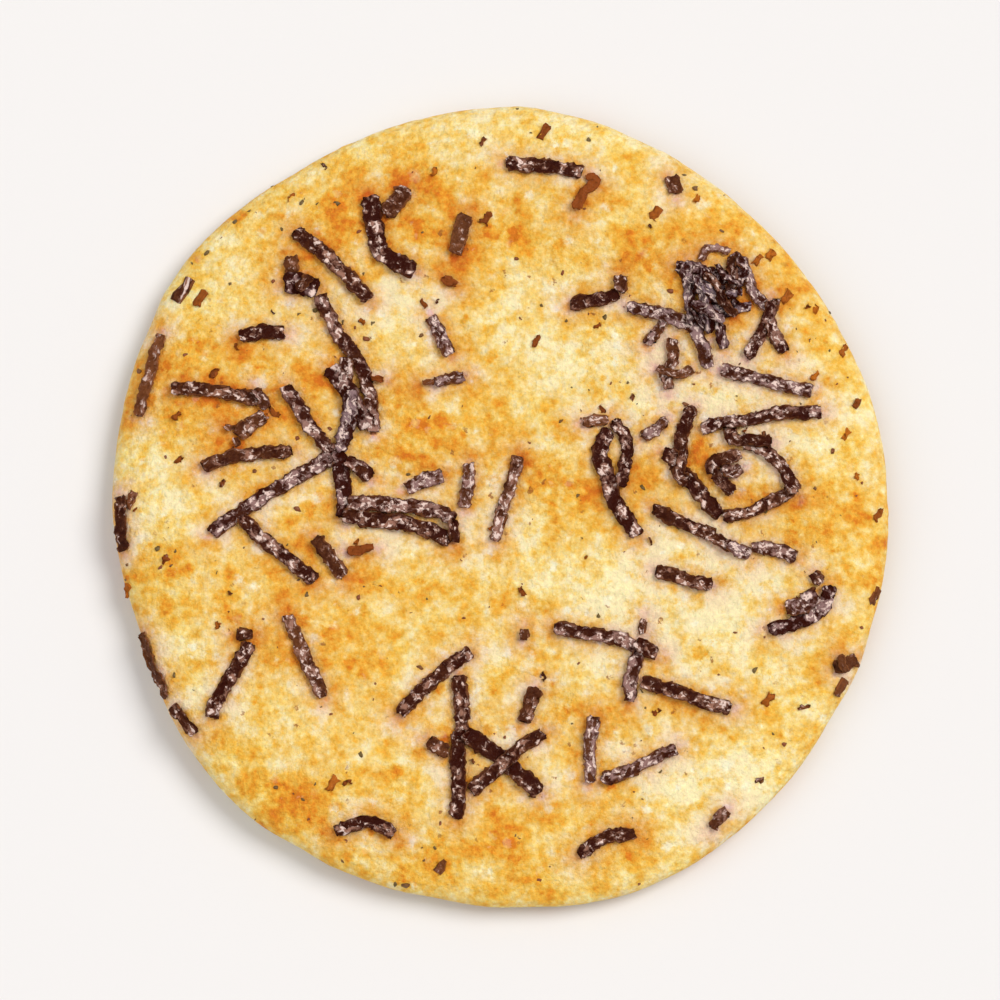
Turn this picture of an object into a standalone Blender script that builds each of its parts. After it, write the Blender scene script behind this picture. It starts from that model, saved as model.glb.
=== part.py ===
"""A round rice cracker, about 80 mm across, baked flat and blistered by the heat.

One closed body. Seen from above it is a slightly oval disc with a few soft dents. In section it has
a level underside, a rounded edge, a broken raised ring near the edge and a slightly sunken middle.
The cracker lies on the XY plane, with +Z up and its length along LONG_AXIS.
"""
import math

import bmesh
import bpy
from mathutils import Vector, noise

MM = 0.001

# Outline, seen from above.
LENGTH = 85.0 * MM
WIDTH = 80.0 * MM
LONG_AXIS = math.radians(100.0)
# Soft bulges (plus) and dents (minus) of the edge: direction, half spread in degrees, depth.
EDGE_WAVES = (
    (5.0, 14.0, 0.3 * MM),
    (50.0, 16.0, -0.5 * MM),
    (86.0, 9.0, 0.4 * MM),
    (116.0, 16.0, -0.65 * MM),
    (143.0, 13.0, 0.5 * MM),
    (199.0, 12.0, -0.6 * MM),
    (227.0, 13.0, 0.6 * MM),
    (262.0, 15.0, -0.5 * MM),
    (291.0, 12.0, 0.4 * MM),
    (322.0, 12.0, -0.2 * MM),
)
EDGE_ROUGHNESS = 0.22 * MM
EDGE_ROUGHNESS_PITCH = 5.0 * MM

# Section. The edge is widest at EDGE_HEIGHT, and both faces roll off towards it.
EDGE_HEIGHT = 1.9 * MM
TOP_RISE = 3.0 * MM
TOP_ROLL_POWER = 10.0
UNDERSIDE_ROLL_POWER = 16.0

# The upper face: a raised ring with gaps in it round a lower middle.
RING_RADIUS = 0.74
RING_SPREAD = 0.17
RING_HEIGHT = 0.45 * MM
RING_MEAN = 0.65
RING_UNEVENNESS = 0.60
RING_GAP_PITCH = 17.0 * MM
MIDDLE_DIP = 0.25 * MM
MIDDLE_SPREAD = 0.30

# Low blisters that the heat raised: x, y, radius and height. Each falls away as a bell whose spread
# is BLISTER_SOFTNESS of its radius.
BLISTER_SOFTNESS = 0.75
BLISTERS = (
    (-15.0 * MM, 31.0 * MM, 6.0 * MM, 0.45 * MM),
    (-4.5 * MM, 28.5 * MM, 4.5 * MM, 0.35 * MM),
    (7.0 * MM, 29.0 * MM, 4.0 * MM, 0.20 * MM),
    (-30.0 * MM, 10.0 * MM, 5.5 * MM, 0.50 * MM),
    (-19.5 * MM, 12.0 * MM, 4.5 * MM, 0.40 * MM),
    (-8.0 * MM, 6.5 * MM, 5.0 * MM, 0.45 * MM),
    (6.5 * MM, 3.0 * MM, 4.5 * MM, 0.40 * MM),
    (22.0 * MM, 22.0 * MM, 6.5 * MM, 0.50 * MM),
    (29.0 * MM, 24.5 * MM, 4.0 * MM, 0.30 * MM),
    (24.0 * MM, 3.5 * MM, 5.0 * MM, 0.45 * MM),
    (33.0 * MM, -2.0 * MM, 4.5 * MM, 0.45 * MM),
    (33.5 * MM, -14.5 * MM, 3.0 * MM, 0.30 * MM),
    (-21.0 * MM, -13.0 * MM, 5.5 * MM, 0.40 * MM),
    (-14.0 * MM, -9.0 * MM, 4.5 * MM, 0.30 * MM),
    (-32.0 * MM, -7.0 * MM, 4.0 * MM, 0.25 * MM),
    (-18.0 * MM, -29.0 * MM, 5.5 * MM, 0.40 * MM),
    (9.0 * MM, -22.0 * MM, 4.0 * MM, 0.30 * MM),
    (27.0 * MM, -25.0 * MM, 4.5 * MM, 0.30 * MM),
    (-3.0 * MM, -36.0 * MM, 4.5 * MM, 0.35 * MM),
    (13.0 * MM, -34.0 * MM, 4.0 * MM, 0.30 * MM),
)

# Uneven swelling of the upper face: height and pitch, coarse then fine.
SWELLS = (
    (0.26 * MM, 13.0 * MM),
    (0.14 * MM, 5.5 * MM),
)

# Underside: exactly level out to FLAT_RADIUS, then slightly lifted and uneven towards the edge.
FLAT_RADIUS = 0.50
UNDERSIDE_BOW = 0.35 * MM
UNDERSIDE_SWELL = 0.16 * MM
UNDERSIDE_SWELL_PITCH = 7.0 * MM

# The whole edge is lifted a little on two opposite sides, as a drying disc warps.
WARP_LIFT = 0.55 * MM
WARP_DIRECTION = math.radians(35.0)
WARP_START = 0.50

# Mesh: cells across a face (even), how far out the faces go, and the rings between the faces.
CELLS = 40
FACE_EDGE = 0.94
EDGE_RINGS = (0.972, 0.990)

TOP = 1
UNDERSIDE = -1

# Seeds that keep the uneven patterns apart.
EDGE_SEED = Vector((3.1, 7.7, 1.3))
RING_SEED = Vector((11.4, 2.6, 5.9))
SWELL_SEED = Vector((6.2, 14.8, 9.1))
UNDERSIDE_SEED = Vector((17.3, 4.4, 12.7))


def smooth_step(low, high, value):
    """Rise smoothly from 0 at low to 1 at high."""
    part = min(1.0, max(0.0, (value - low) / (high - low)))
    return part * part * (3.0 - 2.0 * part)


def bell(distance, spread):
    """A soft hump: 1 at distance 0, falling to nearly nothing at twice the spread."""
    return math.exp(-(distance / spread) ** 2)


def uneven(x, y, pitch, seed):
    """Smooth unevenness between about -1 and 1, repeating nowhere."""
    return noise.noise(Vector((x / pitch, y / pitch, 0.0)) + seed)


def outline_radius(angle):
    """Distance from the middle to the edge in one direction."""
    long_half = LENGTH / 2.0
    short_half = WIDTH / 2.0
    turned = angle - LONG_AXIS
    across = math.hypot(short_half * math.cos(turned), long_half * math.sin(turned))
    radius = long_half * short_half / across
    for direction, spread, depth in EDGE_WAVES:
        off = math.remainder(angle - math.radians(direction), 2.0 * math.pi)
        radius += depth * bell(off, math.radians(spread))
    x = radius * math.cos(angle)
    y = radius * math.sin(angle)
    return radius + EDGE_ROUGHNESS * uneven(x, y, EDGE_ROUGHNESS_PITCH, EDGE_SEED)


def warp(angle, share):
    """Lift of both faces near the edge, on two opposite sides."""
    sides = 0.5 + 0.5 * math.cos(2.0 * (angle - WARP_DIRECTION))
    return WARP_LIFT * sides * smooth_step(WARP_START, 1.0, share)


def top_relief(x, y, share):
    """Height of the ring, the blisters and the swelling above the plain rolled-off disc."""
    ring_strength = RING_MEAN + RING_UNEVENNESS * uneven(x, y, RING_GAP_PITCH, RING_SEED)
    height = RING_HEIGHT * ring_strength * bell(share - RING_RADIUS, RING_SPREAD)
    height -= MIDDLE_DIP * bell(share, MIDDLE_SPREAD)
    for blister_x, blister_y, radius, rise in BLISTERS:
        height += rise * bell(math.hypot(x - blister_x, y - blister_y), BLISTER_SOFTNESS * radius)
    for rise, pitch in SWELLS:
        height += rise * uneven(x, y, pitch, SWELL_SEED)
    return height * (1.0 - share ** TOP_ROLL_POWER)


def underside_relief(x, y, share):
    """Lift of the underside outside its level middle, never below the level."""
    outside = smooth_step(FLAT_RADIUS, 1.0, share)
    swell = 0.5 + 0.5 * uneven(x, y, UNDERSIDE_SWELL_PITCH, UNDERSIDE_SEED)
    return (UNDERSIDE_BOW + UNDERSIDE_SWELL * swell) * outside


def surface_point(angle, share, side):
    """Point of one face: share is 0 in the middle and 1 on the edge's widest line."""
    radius = share * outline_radius(angle)
    x = radius * math.cos(angle)
    y = radius * math.sin(angle)
    if side == TOP:
        height = TOP_RISE * math.sqrt(1.0 - share ** TOP_ROLL_POWER) + top_relief(x, y, share)
        return Vector((x, y, EDGE_HEIGHT + height + warp(angle, share)))
    if share <= FLAT_RADIUS:
        return Vector((x, y, 0.0))
    roll = EDGE_HEIGHT * (1.0 - math.sqrt(1.0 - share ** UNDERSIDE_ROLL_POWER))
    # On the widest line both faces meet, so the relief has faded out there.
    relief = underside_relief(x, y, share) * (1.0 - share ** UNDERSIDE_ROLL_POWER)
    return Vector((x, y, roll + relief + warp(angle, share)))


def square_to_disc(u, v):
    """Direction and distance (0 to 1) on a disc for a point of a square from -1 to 1."""
    if max(abs(u), abs(v)) < 1e-6:
        return 0.0, 0.0
    if abs(u) >= abs(v):
        angle = math.pi / 4.0 * (v / u)
        if u < 0.0:
            angle += math.pi
        return angle, abs(u)
    angle = math.pi / 2.0 - math.pi / 4.0 * (u / v)
    if v < 0.0:
        angle += math.pi
    return angle, abs(v)


def add_face(body, side):
    """Add the upper face or the underside as a grid bent to a disc, and return its edge loop."""
    grid = bmesh.ops.create_grid(body, x_segments=CELLS, y_segments=CELLS, size=1.0)
    verts = grid["verts"]
    for vert in verts:
        angle, distance = square_to_disc(vert.co.x, vert.co.y)
        vert.co = surface_point(angle, distance * FACE_EDGE, side)
    edges = {edge for vert in verts for edge in vert.link_edges}
    return [edge for edge in edges if edge.is_boundary]


def add_ring(body, loop, share, side):
    """Extrude an edge loop and move the new ring to its share of the radius."""
    extruded = bmesh.ops.extrude_edge_only(body, edges=loop)["geom"]
    for vert in (item for item in extruded if isinstance(item, bmesh.types.BMVert)):
        angle = math.atan2(vert.co.y, vert.co.x)
        vert.co = surface_point(angle, share, side)
    return [item for item in extruded if isinstance(item, bmesh.types.BMEdge)]


def add_edge(body, top_loop, underside_loop):
    """Close the body between its two faces, ring by ring round the widest line."""
    for share in EDGE_RINGS:
        top_loop = add_ring(body, top_loop, share, TOP)
        underside_loop = add_ring(body, underside_loop, share, UNDERSIDE)
    top_loop = add_ring(body, top_loop, 1.0, TOP)
    bmesh.ops.bridge_loops(body, edges=top_loop + underside_loop)


def centre_on_base(body):
    """Move the body so that its box's bottom centre is the origin."""
    xs = [vert.co.x for vert in body.verts]
    ys = [vert.co.y for vert in body.verts]
    zs = [vert.co.z for vert in body.verts]
    middle = Vector(((min(xs) + max(xs)) / 2.0, (min(ys) + max(ys)) / 2.0, min(zs)))
    bmesh.ops.translate(body, vec=-middle, verts=body.verts)


def crust_material():
    """Baked rice dough, golden with a slight soy glaze."""
    material = bpy.data.materials.new("baked_crust")
    material.use_nodes = True
    shader = material.node_tree.nodes["Principled BSDF"]
    shader.inputs["Base Color"].default_value = (0.81, 0.50, 0.17, 1.0)
    shader.inputs["Roughness"].default_value = 0.50
    shader.inputs["Metallic"].default_value = 0.0
    return material


def make_cracker():
    """Make the cracker as one closed body."""
    body = bmesh.new()
    top_loop = add_face(body, TOP)
    underside_loop = add_face(body, UNDERSIDE)
    add_edge(body, top_loop, underside_loop)
    centre_on_base(body)
    bmesh.ops.recalc_face_normals(body, faces=body.faces)
    mesh = bpy.data.meshes.new("rice_cracker")
    body.to_mesh(mesh)
    body.free()
    mesh.shade_smooth()
    mesh.materials.append(crust_material())
    cracker = bpy.data.objects.new("rice_cracker", mesh)
    bpy.context.scene.collection.objects.link(cracker)
    return cracker


def main():
    for old in list(bpy.data.objects):
        bpy.data.objects.remove(old, do_unlink=True)
    make_cracker()


if __name__ == "__main__":
    main()
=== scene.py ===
"""Looks of a round rice cracker with seaweed shreds, a Blender add-on that is run as a script.

The crust is a fine skin wrapped on the modelled body and roughened by heat. Seaweed shreds are
draped on it one level after another, and flakes and seasoning specks are strewn between them.
"""

import math

import bpy
import numpy as np
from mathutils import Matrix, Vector


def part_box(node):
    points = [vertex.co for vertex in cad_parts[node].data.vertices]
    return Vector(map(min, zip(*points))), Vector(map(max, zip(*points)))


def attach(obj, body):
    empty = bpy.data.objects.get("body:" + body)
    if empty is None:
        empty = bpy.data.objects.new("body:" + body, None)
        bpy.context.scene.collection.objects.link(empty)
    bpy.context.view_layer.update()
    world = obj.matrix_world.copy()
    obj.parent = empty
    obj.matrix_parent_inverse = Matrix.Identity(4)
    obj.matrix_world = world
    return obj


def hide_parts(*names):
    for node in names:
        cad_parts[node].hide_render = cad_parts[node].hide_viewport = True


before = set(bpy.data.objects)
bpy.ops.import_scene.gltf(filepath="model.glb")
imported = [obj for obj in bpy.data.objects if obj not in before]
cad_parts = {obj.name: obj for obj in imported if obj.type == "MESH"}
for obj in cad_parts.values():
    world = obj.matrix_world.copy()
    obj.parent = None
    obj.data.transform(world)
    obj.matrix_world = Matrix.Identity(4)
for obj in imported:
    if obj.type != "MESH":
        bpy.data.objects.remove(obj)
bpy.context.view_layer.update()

bl_info = {
    "name": "Seaweed rice cracker",
    "version": (1, 0, 0),
    "blender": (4, 5, 0),
    "location": "View3D > Sidebar > Cracker",
    "description": "Makes the crust, seaweed, seasoning and studio of a baked rice cracker",
    "category": "Add Mesh",
}

MM = 0.001
BODY = "root"
CRUST_NODE = "rice_cracker"
LOW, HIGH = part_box(CRUST_NODE)
THICKNESS = HIGH.z - LOW.z
WIDTH = HIGH.x - LOW.x
# Height of the edge's widest line, about where a ray meets the body squarely from the side.
EDGE_HEIGHT = LOW.z + 0.37 * THICKNESS
# Rays that look down for the crust start this high, and reach this far.
FAR_ABOVE = THICKNESS * 4.0
RAY_LENGTH = 1.0

# Cells across the faces of the crust's skin, and bands round its edge.
TOP_CELLS = 240
UNDERSIDE_CELLS = TOP_CELLS // 2
EDGE_BANDS = 14
# How far inside the edge the rays of its bands meet, and how often the skin is evened out.
EDGE_ROUNDING = 3.0 * MM
WRAP_SMOOTHING = 14
# How far the edge is pushed out again where evening out had rounded its crest off.
EDGE_FILL = 0.34 * MM
# Share of the way out from the middle at which the rim starts.
RIM_START = 0.86
# Going in from the first share to the second, the underside turns to a pattern of its own, which
# is read this much deeper in the dough, in millimetres.
LOWER_START = 0.90
LOWER_FULL = 0.50
LOWER_DEPTH = 7.7

# The most that toasted and pale spots add up to where they overlap.
MOST_TOASTED = 1.0
MOST_PALE = 1.6

# All places below are x and y in millimetres, measured from this point of the cracker.
PLACES_FROM = (-0.1, -0.9)

# Toasted places on the crust: x, y and radius in millimetres, and how dark.
TOASTED = (
    (-15.0, 32.0, 5.0, 0.75), (-9.0, 34.5, 3.5, 0.70), (-20.0, 26.5, 3.5, 0.75),
    (-10.0, 28.5, 4.0, 0.15), (10.5, 18.0, 2.5, 0.50), (-5.7, 12.0, 2.5, 0.35),
    (6.0, -20.0, 2.5, 0.32), (-10.2, -23.3, 3.0, 0.28), (-4.2, 19.5, 3.0, 0.28),
    (28.0, -19.5, 3.0, 0.22), (-32.0, 6.0, 2.5, 0.22), (-25.0, 31.5, 3.5, 0.40),
    (-31.0, 17.4, 3.0, 0.42), (-37.5, 12.0, 2.5, 0.45), (-8.0, 40.5, 3.0, 0.25),
    (1.0, 34.0, 3.0, 0.28), (34.5, 19.5, 3.0, 0.40), (-11.0, 1.7, 2.0, 0.25),
    (-8.0, -2.6, 2.0, 0.30), (-2.3, -10.5, 2.0, 0.30), (38.5, -10.0, 2.5, 0.35),
    (-15.8, 20.0, 2.0, 0.30), (0.5, -10.3, 2.5, 0.50), (39.0, 1.5, 2.5, 0.25),
    (39.0, -6.5, 3.0, 0.52), (32.0, -24.5, 3.0, 0.30), (21.5, -23.0, 2.5, 0.38),
    (-36.5, -15.0, 3.0, 0.30), (-27.0, -11.8, 2.5, 0.36), (-4.0, 27.5, 4.0, 0.85),
    (5.0, 29.0, 4.5, 0.32), (12.0, 34.0, 3.0, 0.20), (13.0, 27.0, 3.5, 0.45),
    (-31.5, 10.5, 4.5, 0.65), (-26.0, 9.0, 4.0, 0.52), (-26.0, 15.5, 3.5, 0.32),
    (-19.5, 13.0, 3.5, 0.65), (-9.0, 7.0, 4.5, 0.95), (-3.6, 7.2, 3.2, 0.22), (4.5, 3.0, 4.0, 0.85),
    (9.5, 1.0, 3.5, 0.70), (20.0, 27.5, 3.5, 0.60), (22.0, 20.5, 4.5, 0.70),
    (29.5, 23.5, 4.0, 0.68), (28.0, 15.5, 3.0, 0.35), (33.0, 15.0, 2.5, 0.20),
    (22.0, 5.5, 3.0, 0.55), (28.5, 1.5, 2.5, 0.40), (14.5, 3.5, 3.0, 0.25), (32.0, -1.0, 4.0, 0.18),
    (37.0, -1.5, 3.0, 0.65), (35.5, -15.0, 2.5, 0.10), (-20.0, -10.5, 4.0, 0.42),
    (-23.0, -16.0, 3.5, 0.70), (-14.5, -16.0, 2.5, 0.70), (-14.0, -6.5, 2.5, 0.60),
    (-29.0, -9.0, 4.0, 0.30), (-34.0, -6.0, 3.0, 0.45), (-20.0, -2.0, 2.5, 0.35),
    (-4.0, -9.0, 2.0, 0.60), (-8.0, -12.6, 3.0, 0.42), (-20.0, -31.0, 4.5, 0.60),
    (-13.0, -28.0, 3.0, 0.38), (9.0, -22.0, 3.0, 0.40), (17.0, -21.5, 2.5, 0.45),
    (28.0, -24.0, 3.5, 0.25), (1.0, -35.0, 4.0, 0.65), (14.0, -34.0, 3.5, 0.55),
    (-9.0, -37.0, 3.0, 0.45),
)
# Pale places, where the crust stayed low and took little heat: x, y, radius and how pale.
PALE = (
    (-31.0, 24.0, 4.5, 0.42), (-9.5, 21.0, 4.0, 0.60), (22.5, 13.2, 4.5, 1.30),
    (26.3, 5.6, 3.0, 1.30), (17.8, 5.6, 1.8, 0.80), (30.0, -3.0, 2.0, 0.50),
    (-17.3, 2.0, 2.0, 0.45), (-21.0, 21.5, 2.0, 0.35), (13.5, -23.5, 2.0, 0.35),
    (10.8, 11.3, 2.5, 0.40), (10.5, 39.5, 3.5, 0.60), (36.5, -17.0, 2.5, 0.80),
    (-23.7, 14.0, 2.5, 0.70), (-12.8, 11.5, 2.0, 0.65), (-9.0, 25.3, 2.5, 0.60),
    (22.5, -6.0, 3.0, 0.85), (15.0, -13.0, 3.0, 1.10), (4.8, -27.0, 3.5, 0.60),
    (-20.5, -23.0, 3.5, 0.50), (-32.0, -2.0, 3.0, 0.60), (-32.5, -20.5, 3.0, 0.75),
    (-9.0, -8.0, 2.5, 0.35), (6.0, 15.0, 6.0, 0.60), (14.5, 14.5, 4.5, 0.75),
    (24.0, 11.8, 4.0, 0.80), (4.0, 38.0, 5.0, 0.25), (16.5, 37.0, 3.0, 0.40),
    (5.0, 22.0, 3.0, 0.35), (-24.0, 2.0, 4.0, 0.45), (-12.0, -3.5, 4.0, 0.45),
    (0.5, -5.0, 5.0, 0.60), (12.0, -10.0, 5.5, 0.80), (18.0, -6.0, 4.5, 0.80),
    (22.5, -12.0, 4.5, 0.80), (2.6, -16.4, 4.0, 0.48), (27.5, -11.0, 4.0, 0.75),
    (27.0, -29.0, 4.5, 1.10), (22.8, 25.6, 1.6, 0.90), (20.0, -29.0, 5.5, 0.85),
    (33.0, 9.0, 4.0, 0.75), (34.5, -9.0, 3.0, 0.35), (-36.0, 3.0, 3.5, 0.40),
)

# Seaweed shreds, each laid over the ones before it: width, tone from -0.5 (steel black, with a cold
# painted sheen) through 0 (black) to 1 (rust), shine, how much painted sheen and glint it has, from
# 0 (dull) to 1 (silvery), and the places it runs through, x and y in millimetres.
SHREDS = (
    # Upper left
    (1.4, 0.55, 0.2, (-35.1, 18.6), (-36.2, 14.2), (-37.5, 9.3)),
    (1.7, 0.20, 0.35, (-34.1, 12.2), (-30.0, 12.0), (-26.8, 11.4), (-24.6, 10.8)),
    (1.3, 0.25, 0.7, (-25.6, 12.2), (-24.6, 11.2), (-24.0, 9.9)),
    (1.8, 0.30, 0.4, (-24.1, 9.5), (-25.6, 8.4), (-27.2, 7.0)),
    (0.7, 0.40, 0.3, (-28.6, 8.2), (-27.0, 7.8)),
    (0.8, 0.30, 0.2, (-27.4, 7.2), (-26.8, 5.8)),
    (1.7, 0.20, 0.2, (-30.8, 3.6), (-27.4, 5.0), (-24.2, 5.4), (-21.1, 5.5)),
    (1.8, 0.35, 0.3, (-21.6, 26.6), (-21.4, 24.2)),
    (2.6, -0.25, 0.3, (-22.6, 23.4), (-20.8, 23.4), (-18.7, 22.6)),
    (1.2, 0.20, 0.1, (-21.4, 22.4), (-19.4, 24.2)),
    (1.7, 0.10, 0.55, (-18.8, 22.4), (-17.8, 20.2), (-16.8, 18.0), (-15.1, 15.8), (-13.8, 13.6),
     (-13.3, 11.0), (-13.1, 7.5)),
    (1.5, 0.05, 0.5, (-16.0, 15.6), (-15.7, 13.4), (-15.3, 11.0), (-14.6, 9.2)),
    (2.1, -0.15, 0.5, (-17.6, 14.6), (-15.8, 12.2), (-14.6, 9.6), (-13.4, 7.9)),
    (1.9, -0.25, 0.75, (-15.4, 11.8), (-15.6, 8.2), (-16.6, 5.2)),
    (1.7, 0.05, 0.6, (-22.2, 12.5), (-19.8, 8.6), (-17.0, 5.1)),
    (0.7, 0.80, 0.4, (-13.4, 13.3), (-11.5, 13.1)),
    (1.8, 0.10, 0.4, (-21.5, 29.2), (-18.5, 26.8), (-16.2, 24.5), (-13.3, 21.5)),
    (2.2, -0.10, 0.1, (-13.5, 33.0), (-13.0, 29.4), (-12.4, 26.8), (-10.8, 25.6), (-8.6, 24.6)),
    (2.2, 0.25, 0.2, (-12.2, 30.8), (-10.6, 32.0), (-9.6, 33.8)),
    (1.8, 0.45, 0.2, (-3.3, 31.0), (-3.9, 28.6), (-4.7, 26.2)),
    (1.0, 0.80, 0.3, (-6.0, 24.2), (-4.4, 22.9)),
    (1.8, 0.00, 0.0, (-27.2, 17.6), (-24.7, 18.3), (-22.0, 18.1)),
    (1.6, 0.20, 0.8, (-7.2, 20.1), (-6.1, 17.8), (-4.8, 15.7)),
    (1.4, 0.30, 0.9, (-7.0, 12.7), (-5.4, 13.2), (-3.4, 13.7)),
    (0.6, 0.60, 0.1, (-8.2, 12.6), (-6.6, 12.9)),
    # Left of the middle
    (1.9, -0.25, 0.2, (-16.6, 5.6), (-16.0, 2.0), (-15.9, -1.7)),
    (1.7, 0.10, 0.6, (-15.9, 4.6), (-14.4, 3.9), (-13.0, 2.5)),
    (1.9, 0.10, 0.6, (-15.9, 0.0), (-12.4, 0.1), (-8.6, -0.3), (-6.0, -0.8), (-4.5, -1.8)),
    (1.9, 0.05, 0.4, (-16.3, -1.3), (-12.6, -1.6), (-9.6, -2.0), (-6.8, -2.8), (-4.9, -4.1)),
    (1.3, 0.05, 0.2, (-4.9, -1.4), (-4.6, -4.2)),
    (1.8, 0.20, 0.8, (-9.9, 1.4), (-7.8, 2.3), (-5.6, 3.1)),
    (1.5, 0.30, 0.7, (-3.1, 4.5), (-3.1, 2.2), (-3.7, -0.5)),
    (1.4, 0.30, 0.5, (2.0, 5.4), (1.2, 2.0), (0.2, -1.0), (-0.5, -4.0)),
    (1.8, 0.05, 0.75, (-17.0, 5.0), (-21.0, 2.9), (-25.4, 0.0), (-29.8, -3.3)),
    (1.7, 0.05, 0.5, (-26.6, -1.2), (-24.8, -3.3), (-22.0, -5.6), (-18.9, -8.3)),
    (1.7, 0.25, 0.0, (-19.2, -3.4), (-17.5, -5.4), (-15.8, -7.9)),
    (1.1, 0.80, 0.2, (-15.9, -5.1), (-14.6, -5.0), (-12.7, -4.6)),
    # Top
    (1.8, 0.05, 0.3, (0.4, 36.5), (4.6, 36.0), (8.9, 35.3)),
    (1.2, 0.90, 0.4, (9.2, 35.4), (10.3, 34.2), (8.7, 33.2), (7.9, 31.0)),
    (1.8, 0.40, 0.4, (17.8, 35.2), (18.2, 34.0), (18.5, 32.8)),
    # Upper right tangle
    (1.7, 0.05, 0.3, (7.2, 21.1), (10.2, 21.7), (12.8, 22.3)),
    (1.6, 0.20, 0.5, (12.5, 22.2), (12.8, 23.3), (12.4, 24.4)),
    (1.6, 0.15, 0.95, (13.1, 20.9), (15.4, 20.4), (17.8, 19.6), (20.2, 18.4), (21.2, 16.6),
     (21.8, 14.0)),
    (1.3, 0.25, 0.8, (17.2, 19.2), (15.2, 16.8)),
    (1.4, 0.30, 0.5, (17.9, 17.6), (18.2, 15.2), (17.2, 13.6), (17.6, 11.8)),
    (1.1, 0.40, 0.5, (16.2, 14.4), (18.2, 13.4), (20.3, 14.4)),
    (1.6, -0.30, 0.3, (18.1, 25.2), (20.4, 25.0), (22.4, 24.0), (25.8, 23.6)),
    (1.4, -0.30, 0.5, (19.5, 25.8), (19.7, 22.4), (20.0, 18.6)),
    (1.2, -0.30, 0.4, (22.4, 24.4), (21.7, 21.6), (22.9, 18.4), (23.4, 16.0)),
    (1.3, -0.40, 0.5, (26.4, 21.0), (22.8, 19.9), (20.0, 19.2)),
    (1.3, -0.30, 0.6, (19.9, 21.4), (20.7, 19.6), (21.6, 18.2)),
    (1.4, -0.40, 0.3, (19.6, 22.6), (22.0, 23.2), (25.2, 23.0)),
    (1.3, -0.40, 0.1, (21.2, 25.0), (21.6, 22.4), (21.2, 19.6)),
    (1.4, -0.40, 0.6, (22.8, 24.2), (23.6, 22.0), (24.6, 20.4)),
    (1.3, 0.15, 1.0, (24.3, 26.8), (25.0, 25.4), (25.4, 24.2)),
    (1.0, 0.40, 0.8, (20.9, 25.6), (21.4, 26.9), (22.8, 27.2), (24.2, 26.6)),
    (1.4, 0.15, 1.0, (24.8, 26.4), (25.8, 24.8), (26.4, 22.4), (28.2, 20.4)),
    (1.2, -0.40, 0.7, (20.8, 19.2), (23.6, 21.0), (25.9, 24.9)),
    (1.2, -0.40, 0.6, (19.6, 23.5), (22.4, 22.4), (25.6, 22.3)),
    (1.1, -0.40, 0.5, (20.2, 24.2), (21.3, 21.2), (22.0, 17.6)),
    (1.1, 0.15, 0.5, (24.0, 26.4), (24.3, 23.6), (23.4, 20.2)),
    (1.2, -0.50, 0.8, (20.6, 22.8), (22.6, 21.3), (24.8, 21.8)),
    (1.1, 0.15, 0.3, (21.0, 24.2), (22.6, 22.6), (23.1, 20.8), (24.7, 19.5)),
    (1.2, -0.30, 0.5, (20.0, 21.0), (21.8, 19.5), (23.5, 19.2)),
    (0.9, -0.30, 0.6, (22.6, 25.4), (23.5, 23.2), (25.5, 22.6)),
    (1.0, 0.40, 0.7, (28.7, 22.0), (28.8, 20.9), (27.9, 19.9)),
    (1.5, 0.05, 0.5, (28.4, 21.6), (27.8, 19.2), (26.6, 17.0), (25.7, 15.2)),
    (1.5, 0.10, 0.5, (27.9, 19.4), (28.8, 17.4), (29.8, 15.9)),
    (1.6, 0.12, 0.75, (22.7, 14.2), (26.2, 13.3), (29.4, 12.5), (32.6, 11.8)),
    # Right of the middle: the loop and what lies in it
    (1.3, 0.45, 0.4, (8.5, 8.6), (10.0, 8.9), (11.5, 8.8)),
    (1.5, -0.10, 0.3, (11.6, 8.9), (13.0, 7.4), (13.3, 5.4), (12.8, 3.4), (12.4, 1.4)),
    (1.9, -0.10, 0.3, (11.6, 7.8), (10.4, 6.4), (10.4, 4.8), (11.2, 2.6), (11.9, 0.4), (13.2, -1.6),
     (14.4, -3.6)),
    (1.4, 0.30, 0.8, (14.5, 6.9), (16.0, 7.7), (17.5, 9.0)),
    (1.6, 0.10, 0.1, (20.0, 10.4), (19.4, 8.4), (18.9, 6.6), (18.8, 5.0)),
    (1.9, 0.00, 0.0, (16.6, 5.6), (18.0, 5.0), (18.8, 3.4), (20.2, 2.0), (21.5, 0.2), (22.9, -1.5)),
    (1.4, 0.10, 0.0, (19.3, 5.8), (18.8, 4.2), (18.5, 2.7), (20.0, 2.2)),
    (1.6, 0.15, 0.2, (22.9, -1.5), (26.0, -0.9), (30.6, 1.5)),
    (1.6, 0.10, 0.4, (30.9, 0.9), (29.7, 2.9), (27.6, 5.4), (25.0, 6.5)),
    (1.6, 0.05, 0.2, (28.2, 6.3), (25.6, 6.8), (23.9, 6.6), (24.0, 8.2)),
    (1.6, 0.05, 0.6, (20.6, 7.7), (23.2, 8.4), (27.6, 9.2), (33.4, 9.8)),
    (1.6, 0.15, 0.3, (25.2, 5.3), (23.4, 4.8), (21.9, 4.2), (21.9, 2.8)),
    (1.6, 0.10, 0.0, (22.0, 3.4), (22.8, 2.4), (24.3, 0.9)),
    (1.5, 0.20, 0.6, (22.6, 3.4), (24.2, 3.2), (25.2, 3.9)),
    (1.6, 0.10, 0.3, (15.7, -0.4), (18.9, -1.9), (21.6, -3.2), (24.2, -4.8)),
    (1.6, 0.15, 1.0, (23.4, -4.2), (26.0, -5.7)),
    (1.7, 0.15, 0.65, (25.8, -4.7), (28.0, -4.7), (30.8, -5.7)),
    (1.7, 0.15, 0.3, (16.0, -6.9), (18.8, -7.8), (22.1, -8.6)),
    (1.7, -0.20, 0.6, (27.5, -13.2), (30.0, -12.7), (32.2, -11.8), (33.8, -10.0), (34.0, -8.4)),
    (2.2, 0.15, 0.8, (29.2, -10.9), (31.2, -10.6), (32.9, -9.3)),
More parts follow.
